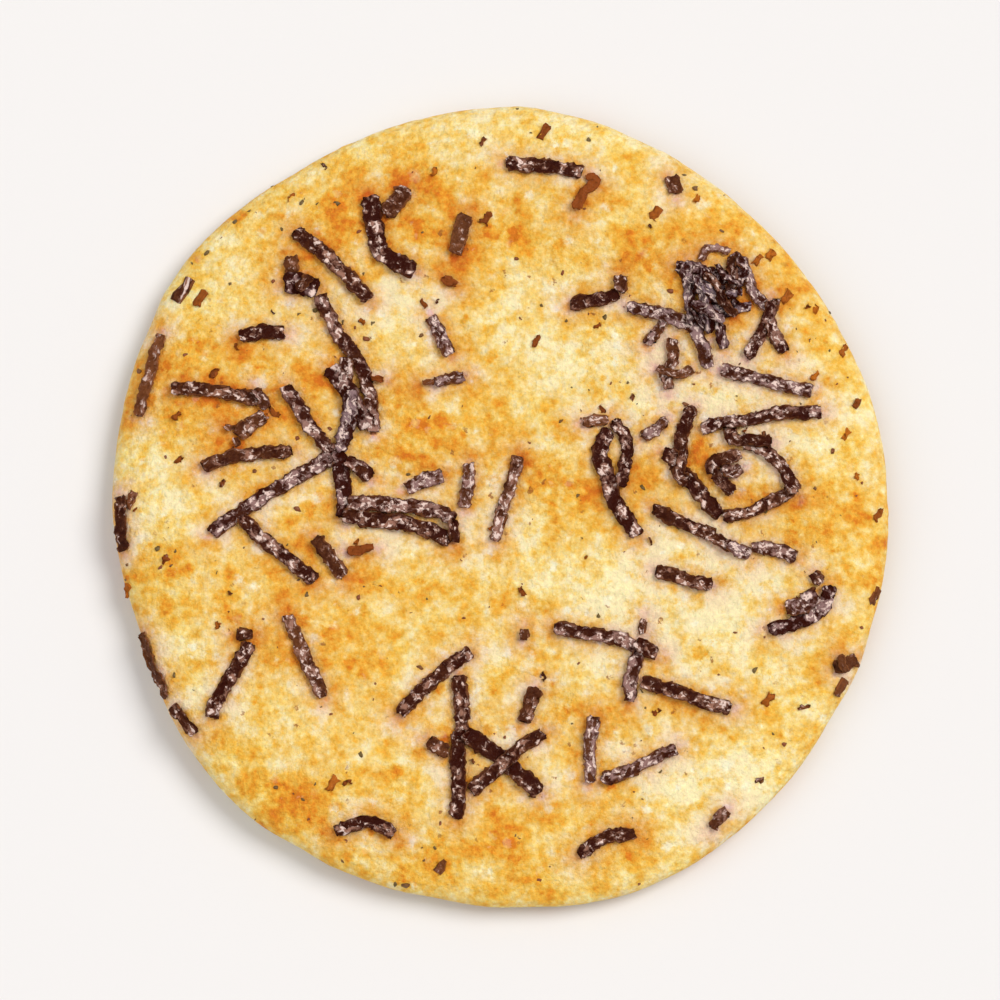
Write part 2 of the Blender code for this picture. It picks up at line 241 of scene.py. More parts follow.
    (1.5, 0.10, 0.0, (32.2, -7.0), (33.3, -8.6)),
    (1.7, 0.35, 0.1, (34.2, -17.2), (35.4, -16.6), (37.0, -15.8)),
    (1.0, 0.45, 0.0, (34.8, -15.6), (35.6, -17.6)),
    # Lower right
    (1.6, 0.10, 0.6, (5.4, -13.0), (9.0, -13.6), (11.8, -14.0), (14.4, -15.1)),
    (0.9, 0.30, 0.4, (14.9, -11.8), (14.7, -13.8)),
    (1.6, 0.10, 0.7, (14.9, -14.0), (14.2, -16.2), (13.4, -18.6), (13.3, -21.0)),
    (1.8, 0.05, 0.3, (13.8, -14.5), (16.4, -16.0)),
    (1.7, 0.05, 0.25, (14.4, -18.5), (17.6, -19.6), (21.0, -20.7), (24.1, -21.4)),
    (1.2, 0.30, 0.0, (2.6, -12.7), (2.4, -14.5)),
    (1.8, 0.30, 0.0, (3.8, -19.0), (3.1, -21.0), (2.5, -23.1)),
    (1.5, 0.30, 0.8, (9.8, -22.0), (9.3, -25.4), (9.1, -29.4)),
    (1.5, 0.20, 0.75, (10.2, -28.8), (12.8, -28.0), (15.6, -26.7), (18.3, -25.4)),
    # Lower left
    (1.7, 0.05, 0.2, (-29.7, -22.5), (-27.4, -18.0), (-25.4, -14.4)),
    (1.5, 0.15, 0.0, (-25.1, -13.8), (-27.1, -13.8)),
    (1.6, 0.35, 0.5, (-21.9, -11.6), (-20.3, -15.4), (-18.9, -18.2), (-17.8, -20.5)),
    (1.7, 0.10, 0.35, (-10.3, -22.2), (-7.6, -19.2), (-5.0, -16.9), (-2.7, -15.5)),
    (1.8, 0.10, 0.35, (-4.3, -17.6), (-3.9, -21.0), (-3.6, -24.4)),
    (1.8, 0.05, 0.0, (-4.1, -23.6), (-4.1, -28.0), (-4.4, -33.0)),
    (2.0, 0.00, 0.0, (-3.6, -23.8), (0.2, -26.6), (2.2, -28.4), (4.3, -30.4)),
    (1.7, 0.10, 0.3, (4.8, -23.9), (2.0, -25.6), (-0.4, -28.0), (-3.0, -30.2)),
    (1.8, 0.35, 0.0, (-7.5, -24.5), (-6.2, -25.6), (-4.8, -26.0)),
    # Round the edge
    (1.4, 0.15, 0.0, (-39.2, 1.3), (-39.1, -1.6), (-38.7, -5.0)),
    (0.9, 0.40, 0.0, (-37.0, -13.0), (-35.7, -16.6), (-34.0, -20.2)),
    (1.3, 0.10, 0.0, (-33.6, -20.8), (-32.4, -22.4), (-31.0, -24.0)),
    (1.5, 0.10, 0.3, (8.0, -36.6), (10.8, -34.6), (14.2, -34.2)),
    (1.6, 0.05, 0.4, (-16.8, -34.2), (-13.4, -33.0), (-10.4, -34.6)),
    (1.4, 0.30, 0.5, (21.6, -33.8), (23.4, -31.6)),
)

# Single flakes of seaweed: x, y and length in millimetres, and tone as for the shreds, up to 1.5
# (scorched through).
FLAKES = (
    (16.3, 30.9, 1.5, 1.15), (4.7, 40.0, 1.7, 0.85), (3.9, 17.4, 1.2, 1.00),
    (13.8, 11.4, 0.8, 0.60), (37.0, 10.8, 1.0, 0.90), (35.8, 16.6, 1.3, 1.20),
    (37.0, 3.1, 0.7, 1.50), (-32.9, 23.0, 2.7, 0.35), (-31.0, 22.1, 1.9, 1.10),
    (-29.5, 13.9, 1.2, 0.80), (-33.3, 9.3, 1.0, 1.10), (-34.4, -5.9, 0.8, 0.85),
    (-14.7, -4.0, 0.8, 1.20), (27.5, -20.4, 1.5, 1.20), (-38.3, -8.7, 1.5, 1.30),
    (-1.2, 30.5, 1.4, 0.75), (-28.9, -12.7, 0.7, 1.20), (39.2, -0.9, 1.4, 1.10),
    (38.8, -9.3, 1.8, 0.60), (35.1, -18.9, 1.8, 0.60), (-17.0, -29.2, 1.6, 1.30),
    (-5.9, -37.6, 1.4, 0.60), (20.6, 32.7, 0.9, 1.50), (28.3, 26.6, 1.2, 1.40),
    (29.9, 22.0, 1.7, 1.25), (32.9, 20.9, 0.9, 1.50), (-6.8, 35.4, 0.9, 1.50),
    (35.9, 7.4, 1.2, 1.50), (-38.0, 0.6, 1.8, 0.60), (32.8, 13.6, 1.2, 1.50),
    (26.9, 26.1, 1.2, 1.30), (-24.1, 8.8, 0.8, 0.45),
)

# Larger specks of seasoning: x, y and length in millimetres, and shade from 0 (olive) to 1 (red).
SPECKS = (
    (-30.5, 27.1, 1.0, 0.1), (-27.6, 30.5, 0.8, 0.2), (-22.7, 29.4, 0.7, 0.0),
    (-20.6, 32.3, 0.9, 0.3), (-19.0, 32.2, 0.6, 0.1), (-13.1, 19.2, 0.7, 0.2),
    (-20.8, 20.2, 0.6, 0.0), (-28.0, 23.5, 0.7, 0.4), (-14.1, 24.5, 0.6, 0.2),
    (-14.6, 29.0, 0.8, 0.9), (-10.8, 33.8, 0.7, 1.0), (-23.5, 23.7, 0.6, 0.9),
    (-32.6, 15.9, 0.8, 0.8), (-35.2, -4.6, 0.9, 0.3), (-34.3, -5.6, 1.1, 0.8),
    (-33.3, -4.9, 0.7, 0.2), (-34.9, -6.6, 0.8, 0.9), (-33.7, -6.5, 0.6, 0.5),
)

# How far from the middle of a shred its staining and painted shade reach, in millimetres.
STAIN_AND_SHADE_REACH = 5.0
# A shred's half width over its listed width, a little under half, since ragged edges add to it.
SHRED_HALF = 0.47
# From one section of a shred to the next, and from one point to the next, in millimetres, where
# runs are tested for touching.
SECTION_STEP = 0.28 * MM
TOUCH_STEP = 0.4
SECTION_CORNERS = 12
# How often a run's corners are evened out, and the heights at which its shred lies.
CORNER_SMOOTHING = 3
BRIDGE_SMOOTHING = 10
# Length over which a shred narrows to its cut ends, and the span within which its outline frays.
CUT_END = 0.3 * MM
FRAYING = 1.1 * MM

# Least and greatest length and tone of a stray flake.
STRAY_LENGTHS = (0.35 * MM, 1.1 * MM)
STRAY_TONES = (0.25, 1.4)
# Any flake's shine, how much painted sheen it has, least and greatest width over its length,
# thickness before it is crumpled, and the span within which it is.
FLAKE_SHINE = 0.2
FLAKE_WIDTHS = (0.30, 0.55)
FLAKE_THICKNESS = 0.25 * MM
FLAKE_CRUMPLING = 1.6 * MM
# Least and greatest half length, half width and half height of a speck over its size, and the span
# within which it is crumpled.
SPECK_SHAPES = ((0.6, 0.5, 0.35), (1.4, 1.0, 0.6))
SPECK_CRUMPLING = 0.7 * MM

# Where each uneven pattern is read, and the seeds of what is strewn, so that no two pieces share
# one.
CRUST_SEED = (4.0, 9.0, 2.0)
SHRED_SEED = (31.0, 17.0, 8.0)
STRAY_FLAKE_SEED = 11
SPECK_SEED = 5

# Metres from the middle to the floor's sides: a camera held low sees no end of it.
FLOOR_REACH = 30.0
# Soft lights: azimuth from -Y towards +X, elevation and apparent width in degrees, and colour.
KEY_LIGHT = (112.0, 52.0, 34.0, (1.0, 0.98, 0.955))
FILL_LIGHT = (-70.0, 55.0, 70.0, (0.96, 0.98, 1.0))
SKY_COLOUR = (1.0, 0.99, 0.985, 1.0)

# What all settings that are a colour, or a length, share.
COLOUR = {"subtype": "COLOR", "size": 3, "min": 0.0, "max": 1.0}
LENGTH = {"unit": "LENGTH", "precision": 5}


class CrustLooks(bpy.types.PropertyGroup):
    """Sizes and colours of the baked crust."""

    grain_height: bpy.props.FloatProperty(
        name="Grain Height", description="Height of the fine pebbly grain",
        default=0.12 * MM, min=0.0, **LENGTH)
    grain_size: bpy.props.FloatProperty(
        name="Grain Size", description="Width of one pebble of the grain",
        default=1.1 * MM, min=0.1 * MM, **LENGTH)
    bubble_height: bpy.props.FloatProperty(
        name="Bubble Height", description="Height of the small bubbles that the heat raised",
        default=0.34 * MM, min=0.0, **LENGTH)
    bubble_size: bpy.props.FloatProperty(
        name="Bubble Size", description="Mean distance between bubbles",
        default=3.2 * MM, min=0.5 * MM, **LENGTH)
    pit_depth: bpy.props.FloatProperty(
        name="Pit Depth", description="Depth of the small pits between the bubbles",
        default=0.12 * MM, min=0.0, **LENGTH)
    cream: bpy.props.FloatVectorProperty(
        name="Cream", description="Palest dough, in the low places",
        default=(0.99, 0.81, 0.475), **COLOUR)
    gold: bpy.props.FloatVectorProperty(
        name="Gold", description="Lightly baked dough, the commonest colour",
        default=(0.94, 0.638, 0.198), **COLOUR)
    amber: bpy.props.FloatVectorProperty(
        name="Amber", description="Well baked dough",
        default=(0.89, 0.48, 0.060), **COLOUR)
    toasted: bpy.props.FloatVectorProperty(
        name="Toasted", description="Dough browned on the blisters",
        default=(0.83, 0.325, 0.018), **COLOUR)
    browned: bpy.props.FloatVectorProperty(
        name="Browned", description="Darkest spots of the blisters",
        default=(0.74, 0.20, 0.008), **COLOUR)
    freckle: bpy.props.FloatVectorProperty(
        name="Freckle", description="Bits of seasoning sunk into the dough",
        default=(0.34, 0.10, 0.015), **COLOUR)
    # Colour of the starchy dots and of the painted highlights on the crust.
    starch_and_highlight: bpy.props.FloatVectorProperty(
        name="Starch", description="Floury dots, most of them in pale places",
        default=(0.98, 0.91, 0.70), **COLOUR)
    roughness: bpy.props.FloatProperty(
        name="Roughness", description="Mean roughness of the baked crust",
        default=0.42, min=0.0, max=1.0, subtype="FACTOR")


class SeaweedLooks(bpy.types.PropertyGroup):
    """Sizes and colours of the seaweed shreds and flakes."""

    thickness: bpy.props.FloatProperty(
        name="Thickness", description="Thickness of a shrunken shred",
        default=0.24 * MM, min=0.05 * MM, **LENGTH)
    crinkle: bpy.props.FloatProperty(
        name="Crinkle", description="Height of the crinkles along a shred",
        default=0.26 * MM, min=0.0, **LENGTH)
    curl: bpy.props.FloatProperty(
        name="Curl", description="How far a shred's long edges turn up",
        default=0.22 * MM, min=0.0, **LENGTH)
    wander: bpy.props.FloatProperty(
        name="Wander", description="How far a shred strays from its straight run",
        default=0.45 * MM, min=0.0, **LENGTH)
    stray_flakes: bpy.props.FloatProperty(
        name="Stray Flakes", description="Small loose flakes for each square metre of crust",
        default=7000.0, min=0.0)
    black: bpy.props.FloatVectorProperty(
        name="Black", description="Thick roasted seaweed",
        default=(0.036, 0.004, 0.001), **COLOUR)
    brown: bpy.props.FloatVectorProperty(
        name="Brown", description="Thin seaweed with the crust showing through",
        default=(0.25, 0.085, 0.028), **COLOUR)
    rust: bpy.props.FloatVectorProperty(
        name="Rust", description="Scorched thin flakes",
        default=(0.29, 0.070, 0.013), **COLOUR)
    scorched: bpy.props.FloatVectorProperty(
        name="Scorched", description="Flakes so thin and scorched that the crust shows through",
        default=(0.55, 0.155, 0.015), **COLOUR)
    # The next four colours are painted light: the painted sheen of dull, shiny and blackest shreds,
    # and the painted glint spots on the crinkles' tops.
    sheen: bpy.props.FloatVectorProperty(
        name="Sheen", description="Dull brown sheen along a shred's middle",
        default=(0.50, 0.245, 0.165), **COLOUR)
    silver: bpy.props.FloatVectorProperty(
        name="Silver", description="Grey sheen of the shiniest shreds",
        default=(0.46, 0.29, 0.285), **COLOUR)
    steel: bpy.props.FloatVectorProperty(
        name="Steel", description="Cold sheen of the blackest shreds",
        default=(0.42, 0.30, 0.34), **COLOUR)
    painted_glint_colour: bpy.props.FloatVectorProperty(
        name="Bloom", description="Pale bloom on the crinkles' tops",
        default=(0.86, 0.65, 0.57), **COLOUR)


class SeasoningLooks(bpy.types.PropertyGroup):
    """Amount, size and colours of the fine specks."""

    density: bpy.props.FloatProperty(
        name="Density", description="Specks for each square metre of crust",
        default=42000.0, min=0.0)
    size: bpy.props.FloatProperty(
        name="Size", description="Half width of the largest speck",
        default=0.36 * MM, min=0.02 * MM, **LENGTH)
    olive: bpy.props.FloatVectorProperty(
        name="Olive", description="Green-brown specks",
        default=(0.17, 0.10, 0.018), **COLOUR)
    red: bpy.props.FloatVectorProperty(
        name="Red", description="Red-brown specks",
        default=(0.27, 0.065, 0.012), **COLOUR)


class StudioLooks(bpy.types.PropertyGroup):
    """Floor, lights and camera."""

    elevation: bpy.props.FloatProperty(
        name="Elevation", description="Camera's angle above the floor",
        default=math.radians(78.0), subtype="ANGLE")
    distance: bpy.props.FloatProperty(
        name="Distance", description="From the camera to the cracker",
        default=0.60, min=0.1, unit="LENGTH")
    margin: bpy.props.FloatProperty(
        name="Margin", description="Picture's width over the cracker's length",
        default=1.22, min=1.0)
    floor: bpy.props.FloatVectorProperty(
        name="Floor", description="Pale warm floor",
        default=(0.815, 0.795, 0.786), **COLOUR)
    key: bpy.props.FloatProperty(
        name="Key", description="Strength of the main soft light", default=2.05, min=0.0)
    fill: bpy.props.FloatProperty(
        name="Fill", description="Strength of the soft light from the other side",
        default=0.885, min=0.0)
    sky: bpy.props.FloatProperty(
        name="Sky", description="Strength of the even light from all round", default=0.417, min=0.0)


class Wiring:
    """Adds nodes to one tree and joins them, so that a tree reads as its steps."""

    def __init__(self, tree):
        self.tree = tree

    def add(self, kind, *values, **settings):
        """Add a node with its settings, and give its shown inputs their values in order."""
        node = self.tree.nodes.new(kind)
        for name, value in settings.items():
            setattr(node, name, value)
        shown = [socket for socket in node.inputs if socket.enabled]
        for socket, value in zip(shown, values):
            self.give(socket, value)
        return node

    def give(self, socket, value):
        """Join an output to an input, or set the input's own value. None leaves it as it is."""
        if isinstance(value, bpy.types.NodeSocket):
            self.tree.links.new(value, socket)
        elif value is not None:
            socket.default_value = value

    def out(self, kind, *values, **settings):
        """Add a node and return its first shown output."""
        node = self.add(kind, *values, **settings)
        return next(socket for socket in node.outputs if socket.enabled)

    def math(self, operation, *values):
        return self.out("ShaderNodeMath", *values, operation=operation)

    def vector(self, operation, *values):
        return self.out("ShaderNodeVectorMath", *values, operation=operation)

    def total(self, start, *terms):
        """start, plus each value times its weight."""
        for value, weight in terms:
            start = self.math("MULTIPLY_ADD", value, weight, start)
        return start

    def times(self, first, *others):
        """The product of all values."""
        for value in others:
            first = self.math("MULTIPLY", first, value)
        return first

    def between(self, value, low, high):
        """Rise smoothly from 0 at low to 1 at high, or the other way where low is the larger."""
        return self.out(
            "ShaderNodeMapRange", value, low, high, 0.0, 1.0, interpolation_type="SMOOTHSTEP")

    def noise(self, where, scale, detail=2.0, roughness=0.5):
        """Smooth noise from 0 to 1 about 0.5, with scale in cycles for each unit of where."""
        return self.out("ShaderNodeTexNoise", where, scale, detail, roughness)

    def scatter(self, where, scale, detail, roughness, middle=(0.5, 0.5, 0.5)):
        """Three uneven numbers about 0: the colour of such noise, less its middle."""
        noise = self.add("ShaderNodeTexNoise", where, scale, detail, roughness)
        return self.vector("SUBTRACT", noise.outputs["Color"], middle)

    def cells(self, where, scale):
        """Distance to the nearest of many scattered points, and that point's random colour."""
        node = self.add("ShaderNodeTexVoronoi", where, scale)
        return node.outputs["Distance"], node.outputs["Color"]

    def parts(self, vector):
        """A vector's parts, named X, Y and Z."""
        return self.add("ShaderNodeSeparateXYZ", vector).outputs

    def point(self, x, y, z):
        return self.out("ShaderNodeCombineXYZ", x, y, z)

    def position(self):
        return self.out("GeometryNodeInputPosition")

    def shape_of(self, body):
        """The mesh of an object that the tree is given."""
        return self.add("GeometryNodeObjectInfo", body).outputs["Geometry"]

    def store(self, geometry, name, value):
        """Keep a number of each point under a name."""
        return self.out("GeometryNodeStoreNamedAttribute", geometry, None, name, value)

    def move(self, geometry, position=None, offset=None):
        """Put each point at a position, its own where none is given, and add an offset."""
        return self.out("GeometryNodeSetPosition", geometry, None, position, offset)

    def random(self, least, most, seed):
        """A random number for each point, or three of them where least and most are three."""
        kind = "FLOAT_VECTOR" if isinstance(least, tuple) else "FLOAT"
        return self.out("FunctionNodeRandomValue", least, most, None, seed, data_type=kind)

    def above_floor(self, geometry):
        """Lift what reaches below the plane that the cracker lies on up to it."""
        place = self.parts(self.position())
        height = self.math("MAXIMUM", place["Z"], 0.0)
        return self.move(geometry, self.point(place["X"], place["Y"], height))


def new_tree(name, sizes):
    """A Geometry Nodes tree with named inputs: the tree, its wiring and its inputs' outputs."""
    tree = bpy.data.node_groups.new(name, "GeometryNodeTree")
    tree.interface.new_socket("Geometry", in_out="INPUT", socket_type="NodeSocketGeometry")
    for label, kind in sizes:
        tree.interface.new_socket(label, in_out="INPUT", socket_type="NodeSocket" + kind)
    tree.interface.new_socket("Geometry", in_out="OUTPUT", socket_type="NodeSocketGeometry")
    wiring = Wiring(tree)
    return tree, wiring, wiring.add("NodeGroupInput").outputs


def finish_tree(wiring, geometry, material):
    """End a tree with realized instances, smooth faces and a material."""
    geometry = wiring.out("GeometryNodeRealizeInstances", geometry)
    geometry = wiring.out("GeometryNodeSetShadeSmooth", geometry, None, True)
    geometry = wiring.out("GeometryNodeSetMaterial", geometry, None, material)
    wiring.add("NodeGroupOutput", geometry)


def grow(name, mesh, tree, values):
    """Put a mesh through a tree, and return a piece that holds the plain result."""
    piece = bpy.data.objects.new(name, mesh)
    bpy.context.scene.collection.objects.link(piece)
    modifier = piece.modifiers.new(tree.name, "NODES")
    modifier.node_group = tree
    for item in tree.interface.items_tree:
        if item.in_out == "INPUT" and item.name in values:
            modifier[item.identifier] = values[item.name]
    graph = bpy.context.evaluated_depsgraph_get()
    plain = bpy.data.meshes.new_from_object(
        piece.evaluated_get(graph), preserve_all_data_layers=True, depsgraph=graph)
    if not plain.polygons:
        raise RuntimeError(f"{name} came out with no faces")
    piece.modifiers.remove(modifier)
    piece.data = plain
    plain.name = name
    return piece


def points_of(mesh):
    """A mesh's points as an array, in metres."""
    points = np.empty(len(mesh.vertices) * 3, np.float32)
    mesh.vertices.foreach_get("co", points)
    return points.reshape(-1, 3)


def add_values(mesh, name, values):
    """Give each point of a mesh a number under a name that trees and materials read."""
    layer = mesh.attributes.new(name, "FLOAT", "POINT")
    layer.data.foreach_set("value", np.asarray(values, np.float32))


def new_material(name):
    """A material, its wiring, its shader node and its points in millimetres."""
    material = bpy.data.materials.new(name)
    material.use_nodes = True
    wiring = Wiring(material.node_tree)
    shader = material.node_tree.nodes["Principled BSDF"]
    where = wiring.add("ShaderNodeTexCoord").outputs["Object"]
    return material, wiring, shader, wiring.vector("SCALE", where, 1.0 / MM)


def attribute(wiring, name):
    """A named number of the piece's points, for a material."""
    return wiring.add("ShaderNodeAttribute", attribute_name=name).outputs["Fac"]


def named(wiring, name):
    """A named number of the piece's points, for a tree."""
    return wiring.out("GeometryNodeInputNamedAttribute", name)


def ramp(wiring, value, stops):
    """Colours along a value: each stop is its place and its colour."""
    node = wiring.add("ShaderNodeValToRGB", value)
    elements = node.color_ramp.elements
    while len(elements) < len(stops):
        elements.new(0.5)
    for element, (place, colour) in zip(elements, stops):
        element.position = place
        element.color = (*colour, 1.0)
    return node.outputs["Color"]


def mix(wiring, share, first, second):
    """Mix two colours."""
    node = wiring.add("ShaderNodeMix", data_type="RGBA")
    wiring.give(node.inputs["Factor"], share)
    for socket, colour in zip((s for s in node.inputs if s.type == "RGBA"), (first, second)):
        wiring.give(socket, colour if isinstance(colour, bpy.types.NodeSocket) else (*colour, 1.0))
    return next(s for s in node.outputs if s.type == "RGBA")


def raise_bump(wiring, shader, height, distance, strength=1.0):
    """Give a shader fine relief: heights from 0 to 1 stand for distance."""
    bump = wiring.add("ShaderNodeBump")
    bump.inputs["Strength"].default_value = strength
    bump.inputs["Distance"].default_value = distance
    wiring.give(bump.inputs["Height"], height)
    wiring.give(shader.inputs["Normal"], bump.outputs["Normal"])
    wiring.give(shader.inputs["Coat Normal"], bump.outputs["Normal"])


# ---------- Crust ----------


def disc_grid(cells):
    """A square grid bent to a disc of radius 1: points, distances from the middle, faces, rim."""
    line = np.linspace(-1.0, 1.0, cells + 1)
    across, up = np.meshgrid(line, line)
    sideways = np.abs(across) >= np.abs(up)
    reach = np.where(sideways, across, up)
    other = np.where(sideways, up, across)
    lean = np.divide(other, reach, out=np.zeros_like(reach), where=reach != 0.0) * math.pi / 4.0
    angle = np.where(sideways, lean, math.pi / 2.0 - lean)
    points = np.stack((reach * np.cos(angle), reach * np.sin(angle)), axis=-1).reshape(-1, 2)
    index = np.arange((cells + 1) ** 2).reshape(cells + 1, cells + 1)
    faces = np.stack((index[:-1, :-1], index[:-1, 1:], index[1:, 1:], index[1:, :-1]), axis=-1)
    ring = np.concatenate((index[0, :-1], index[:-1, -1], index[-1, :0:-1], index[:0:-1, 0]))
    return points, np.abs(reach).ravel(), faces.reshape(-1, 4), ring


def band(upper, lower):
    """Faces between two rings with as many points, facing outwards."""
    return np.stack((upper, lower, np.roll(lower, -1), np.roll(upper, -1)), axis=-1)


def halving_band(upper, lower):
    """Faces between a ring and a lower one with half as many points."""
    even, odd = upper[0::2], upper[1::2]
    after_even, after_lower = np.roll(even, -1), np.roll(lower, -1)
    faces = [np.stack(corners, axis=-1) for corners in (
        (even, lower, odd), (odd, lower, after_lower), (odd, after_lower, after_even))]
    return np.concatenate(faces)


def crust_blank():
    """A closed skin of a unit disc. Each point has its share of the way out and its ray's tilt."""
    top, top_share, top_faces, top_ring = disc_grid(TOP_CELLS)
    under, under_share, under_faces, under_ring = disc_grid(UNDERSIDE_CELLS)
    points, shares = [top], [top_share]
    tilts = [np.full(len(top), math.pi / 2.0)]
    faces = [top_faces]
    ring, count = top_ring, len(top)
    for step in range(1, EDGE_BANDS):
        points.append(top[top_ring])
        shares.append(np.ones(len(top_ring)))
        tilts.append(np.full(len(top_ring), math.pi * (0.5 - step / EDGE_BANDS)))
        lower = count + np.arange(len(top_ring))
        faces.append(band(ring, lower))
        ring, count = lower, count + len(top_ring)
    points.append(under)
    shares.append(under_share)
    tilts.append(np.full(len(under), -math.pi / 2.0))
    triangles = halving_band(ring, count + under_ring)
    faces.append(count + under_faces[:, ::-1])
    flat = np.concatenate(points)
    mesh = bpy.data.meshes.new("crust_blank")
    corners = np.concatenate(faces).tolist() + triangles.tolist()
    mesh.from_pydata(np.column_stack((flat, np.zeros(len(flat)))).tolist(), [], corners)
    add_values(mesh, "share", np.concatenate(shares))
    add_values(mesh, "tilt", np.concatenate(tilts))
    return mesh


def wrap_tree(material):
    """Put each point of the blank on the body, by a ray from outside, and even out the facets."""
    tree, w, given = new_tree("Wrap on body", (
        ("Body", "Object"), ("Rounding", "Float"), ("Middle Height", "Float"), ("Far", "Float"),
        ("Smoothing", "Int"), ("Fill", "Float")))
    body = w.shape_of(given["Body"])
    place = w.position()
    share, tilt = named(w, "share"), named(w, "tilt")
    outwards = w.vector("NORMALIZE", place)
    middle = w.point(0.0, 0.0, given["Middle Height"])

    def hit(start, towards):
        """Where a ray that comes in from outside meets the body."""
        source = w.vector("ADD", start, w.vector("SCALE", towards, given["Far"]))
        inwards = w.vector("SCALE", towards, -1.0)
        ray = w.add("GeometryNodeRaycast", body, None, source, inwards, RAY_LENGTH)
        return ray.outputs["Hit Position"]

    reach = w.vector("LENGTH", w.vector("SUBTRACT", hit(middle, outwards), middle))
    inner = w.times(share, w.math("SUBTRACT", reach, given["Rounding"]))
    start = w.vector("ADD", middle, w.vector("SCALE", outwards, inner))
    level = w.math("COSINE", tilt)
    towards = w.vector(
        "ADD", w.vector("SCALE", outwards, level), w.point(0.0, 0.0, w.math("SINE", tilt)))
    skin = w.move(given["Geometry"], hit(start, towards))
    # The edge is narrow and hardly faceted, so it is evened out less than the faces.
    weight = w.total(1.0, (w.between(share, 0.84, 0.98), -0.65))

    def evened(vectors):
        return w.out("GeometryNodeBlurAttribute", vectors, given["Smoothing"], weight,
                     data_type="FLOAT_VECTOR")

    even = evened(place)
    # What evening out took off the broad shape is put back.
    lost = evened(w.vector("SUBTRACT", place, even))
    fill = w.vector("SCALE", outwards, w.times(level, given["Fill"]))
    skin = w.move(skin, w.vector("ADD", even, lost), fill)
    finish_tree(w, skin, material)
    return tree


def relief_tree(material):
    """Roughen the skin with grain, pits and bubbles, of which toasted places have more."""
    tree, w, given = new_tree("Baked relief", (
        ("Grain Height", "Float"), ("Grain Size", "Float"), ("Bubble Height", "Float"),
        ("Bubble Size", "Float"), ("Pit Depth", "Float")))
    where = w.vector("ADD", w.position(), CRUST_SEED)
    coarse = w.noise(where, w.math("DIVIDE", 0.35, given["Grain Size"]), 3.0, 0.6)
    fine = w.noise(where, w.math("DIVIDE", 1.0, given["Grain Size"]), 2.0, 0.6)
    grain = w.total(-1.0, (coarse, 1.1), (fine, 0.9))
    grain = w.times(grain, w.times(given["Grain Height"], 2.0))

    distance, colour = w.cells(where, w.math("DIVIDE", 1.0, given["Bubble Size"]))
    pick = w.total(w.parts(colour)["X"], (named(w, "toast"), 0.35))
    dome = w.between(distance, 0.42, 0.0)
    bubble = w.times(dome, w.between(pick, 0.55, 0.95), given["Bubble Height"])

    distance, colour = w.cells(where, w.math("DIVIDE", 1.45, given["Bubble Size"]))
    hollow = w.between(distance, 0.30, 0.05)
    pit = w.times(hollow, w.between(w.parts(colour)["X"], 0.72, 0.95), given["Pit Depth"])

    height = w.math("SUBTRACT", w.math("ADD", grain, bubble), pit)
    # The edge is smoother, where the dough was pressed round.
    height = w.times(height, w.total(1.0, (named(w, "rim"), -0.55)))
    offset = w.vector("SCALE", w.out("GeometryNodeInputNormal"), height)
    skin = w.move(given["Geometry"], None, offset)
    finish_tree(w, w.above_floor(skin), material)
    return tree


def spots(points, places, most):
    """Sum of soft round spots at each point, up to most. The underside has them mirrored."""
    x = np.where(points[:, 2] > EDGE_HEIGHT, points[:, 0], -points[:, 0]) / MM - PLACES_FROM[0]
    y = points[:, 1] / MM - PLACES_FROM[1]
    value = np.zeros(len(points))
    for spot_x, spot_y, radius, strength in places:
        value += strength * np.exp(-((x - spot_x) ** 2 + (y - spot_y) ** 2) / radius ** 2)
    return np.minimum(value, most)


def nearness(points, shreds, reach):
    """How near each point of the upper side is to a shred's run: 1 on it, 0 from reach away."""
    places = points[:, :2] / MM - PLACES_FROM
    gap = np.full(len(points), reach)
    for _, _, _, *run in shreds:
        for start, end in zip(run, run[1:]):
            way = np.subtract(end, start)
            from_start = places - start
            share = np.clip(from_start @ way / (way @ way), 0.0, 1.0)
            gap = np.minimum(gap, np.linalg.norm(from_start - share[:, None] * way, axis=1))
    return np.where(points[:, 2] > EDGE_HEIGHT, (1.0 - gap / reach) ** 3, 0.0)


def dots(w, where, scale, rarity, radius, softness=0.08):
    """Soft dots, about scale of them to the millimetre. Only cells that draw a number above rarity
    hold one. The largest dot's radius and the width of its soft border are given in cells."""
    distance, random_colour = w.cells(where, scale)
    chosen = w.between(w.parts(random_colour)["X"], rarity, 1.0)
    inside = w.math("SUBTRACT", w.times(chosen, radius), distance)
    return w.between(inside, -0.02, softness)


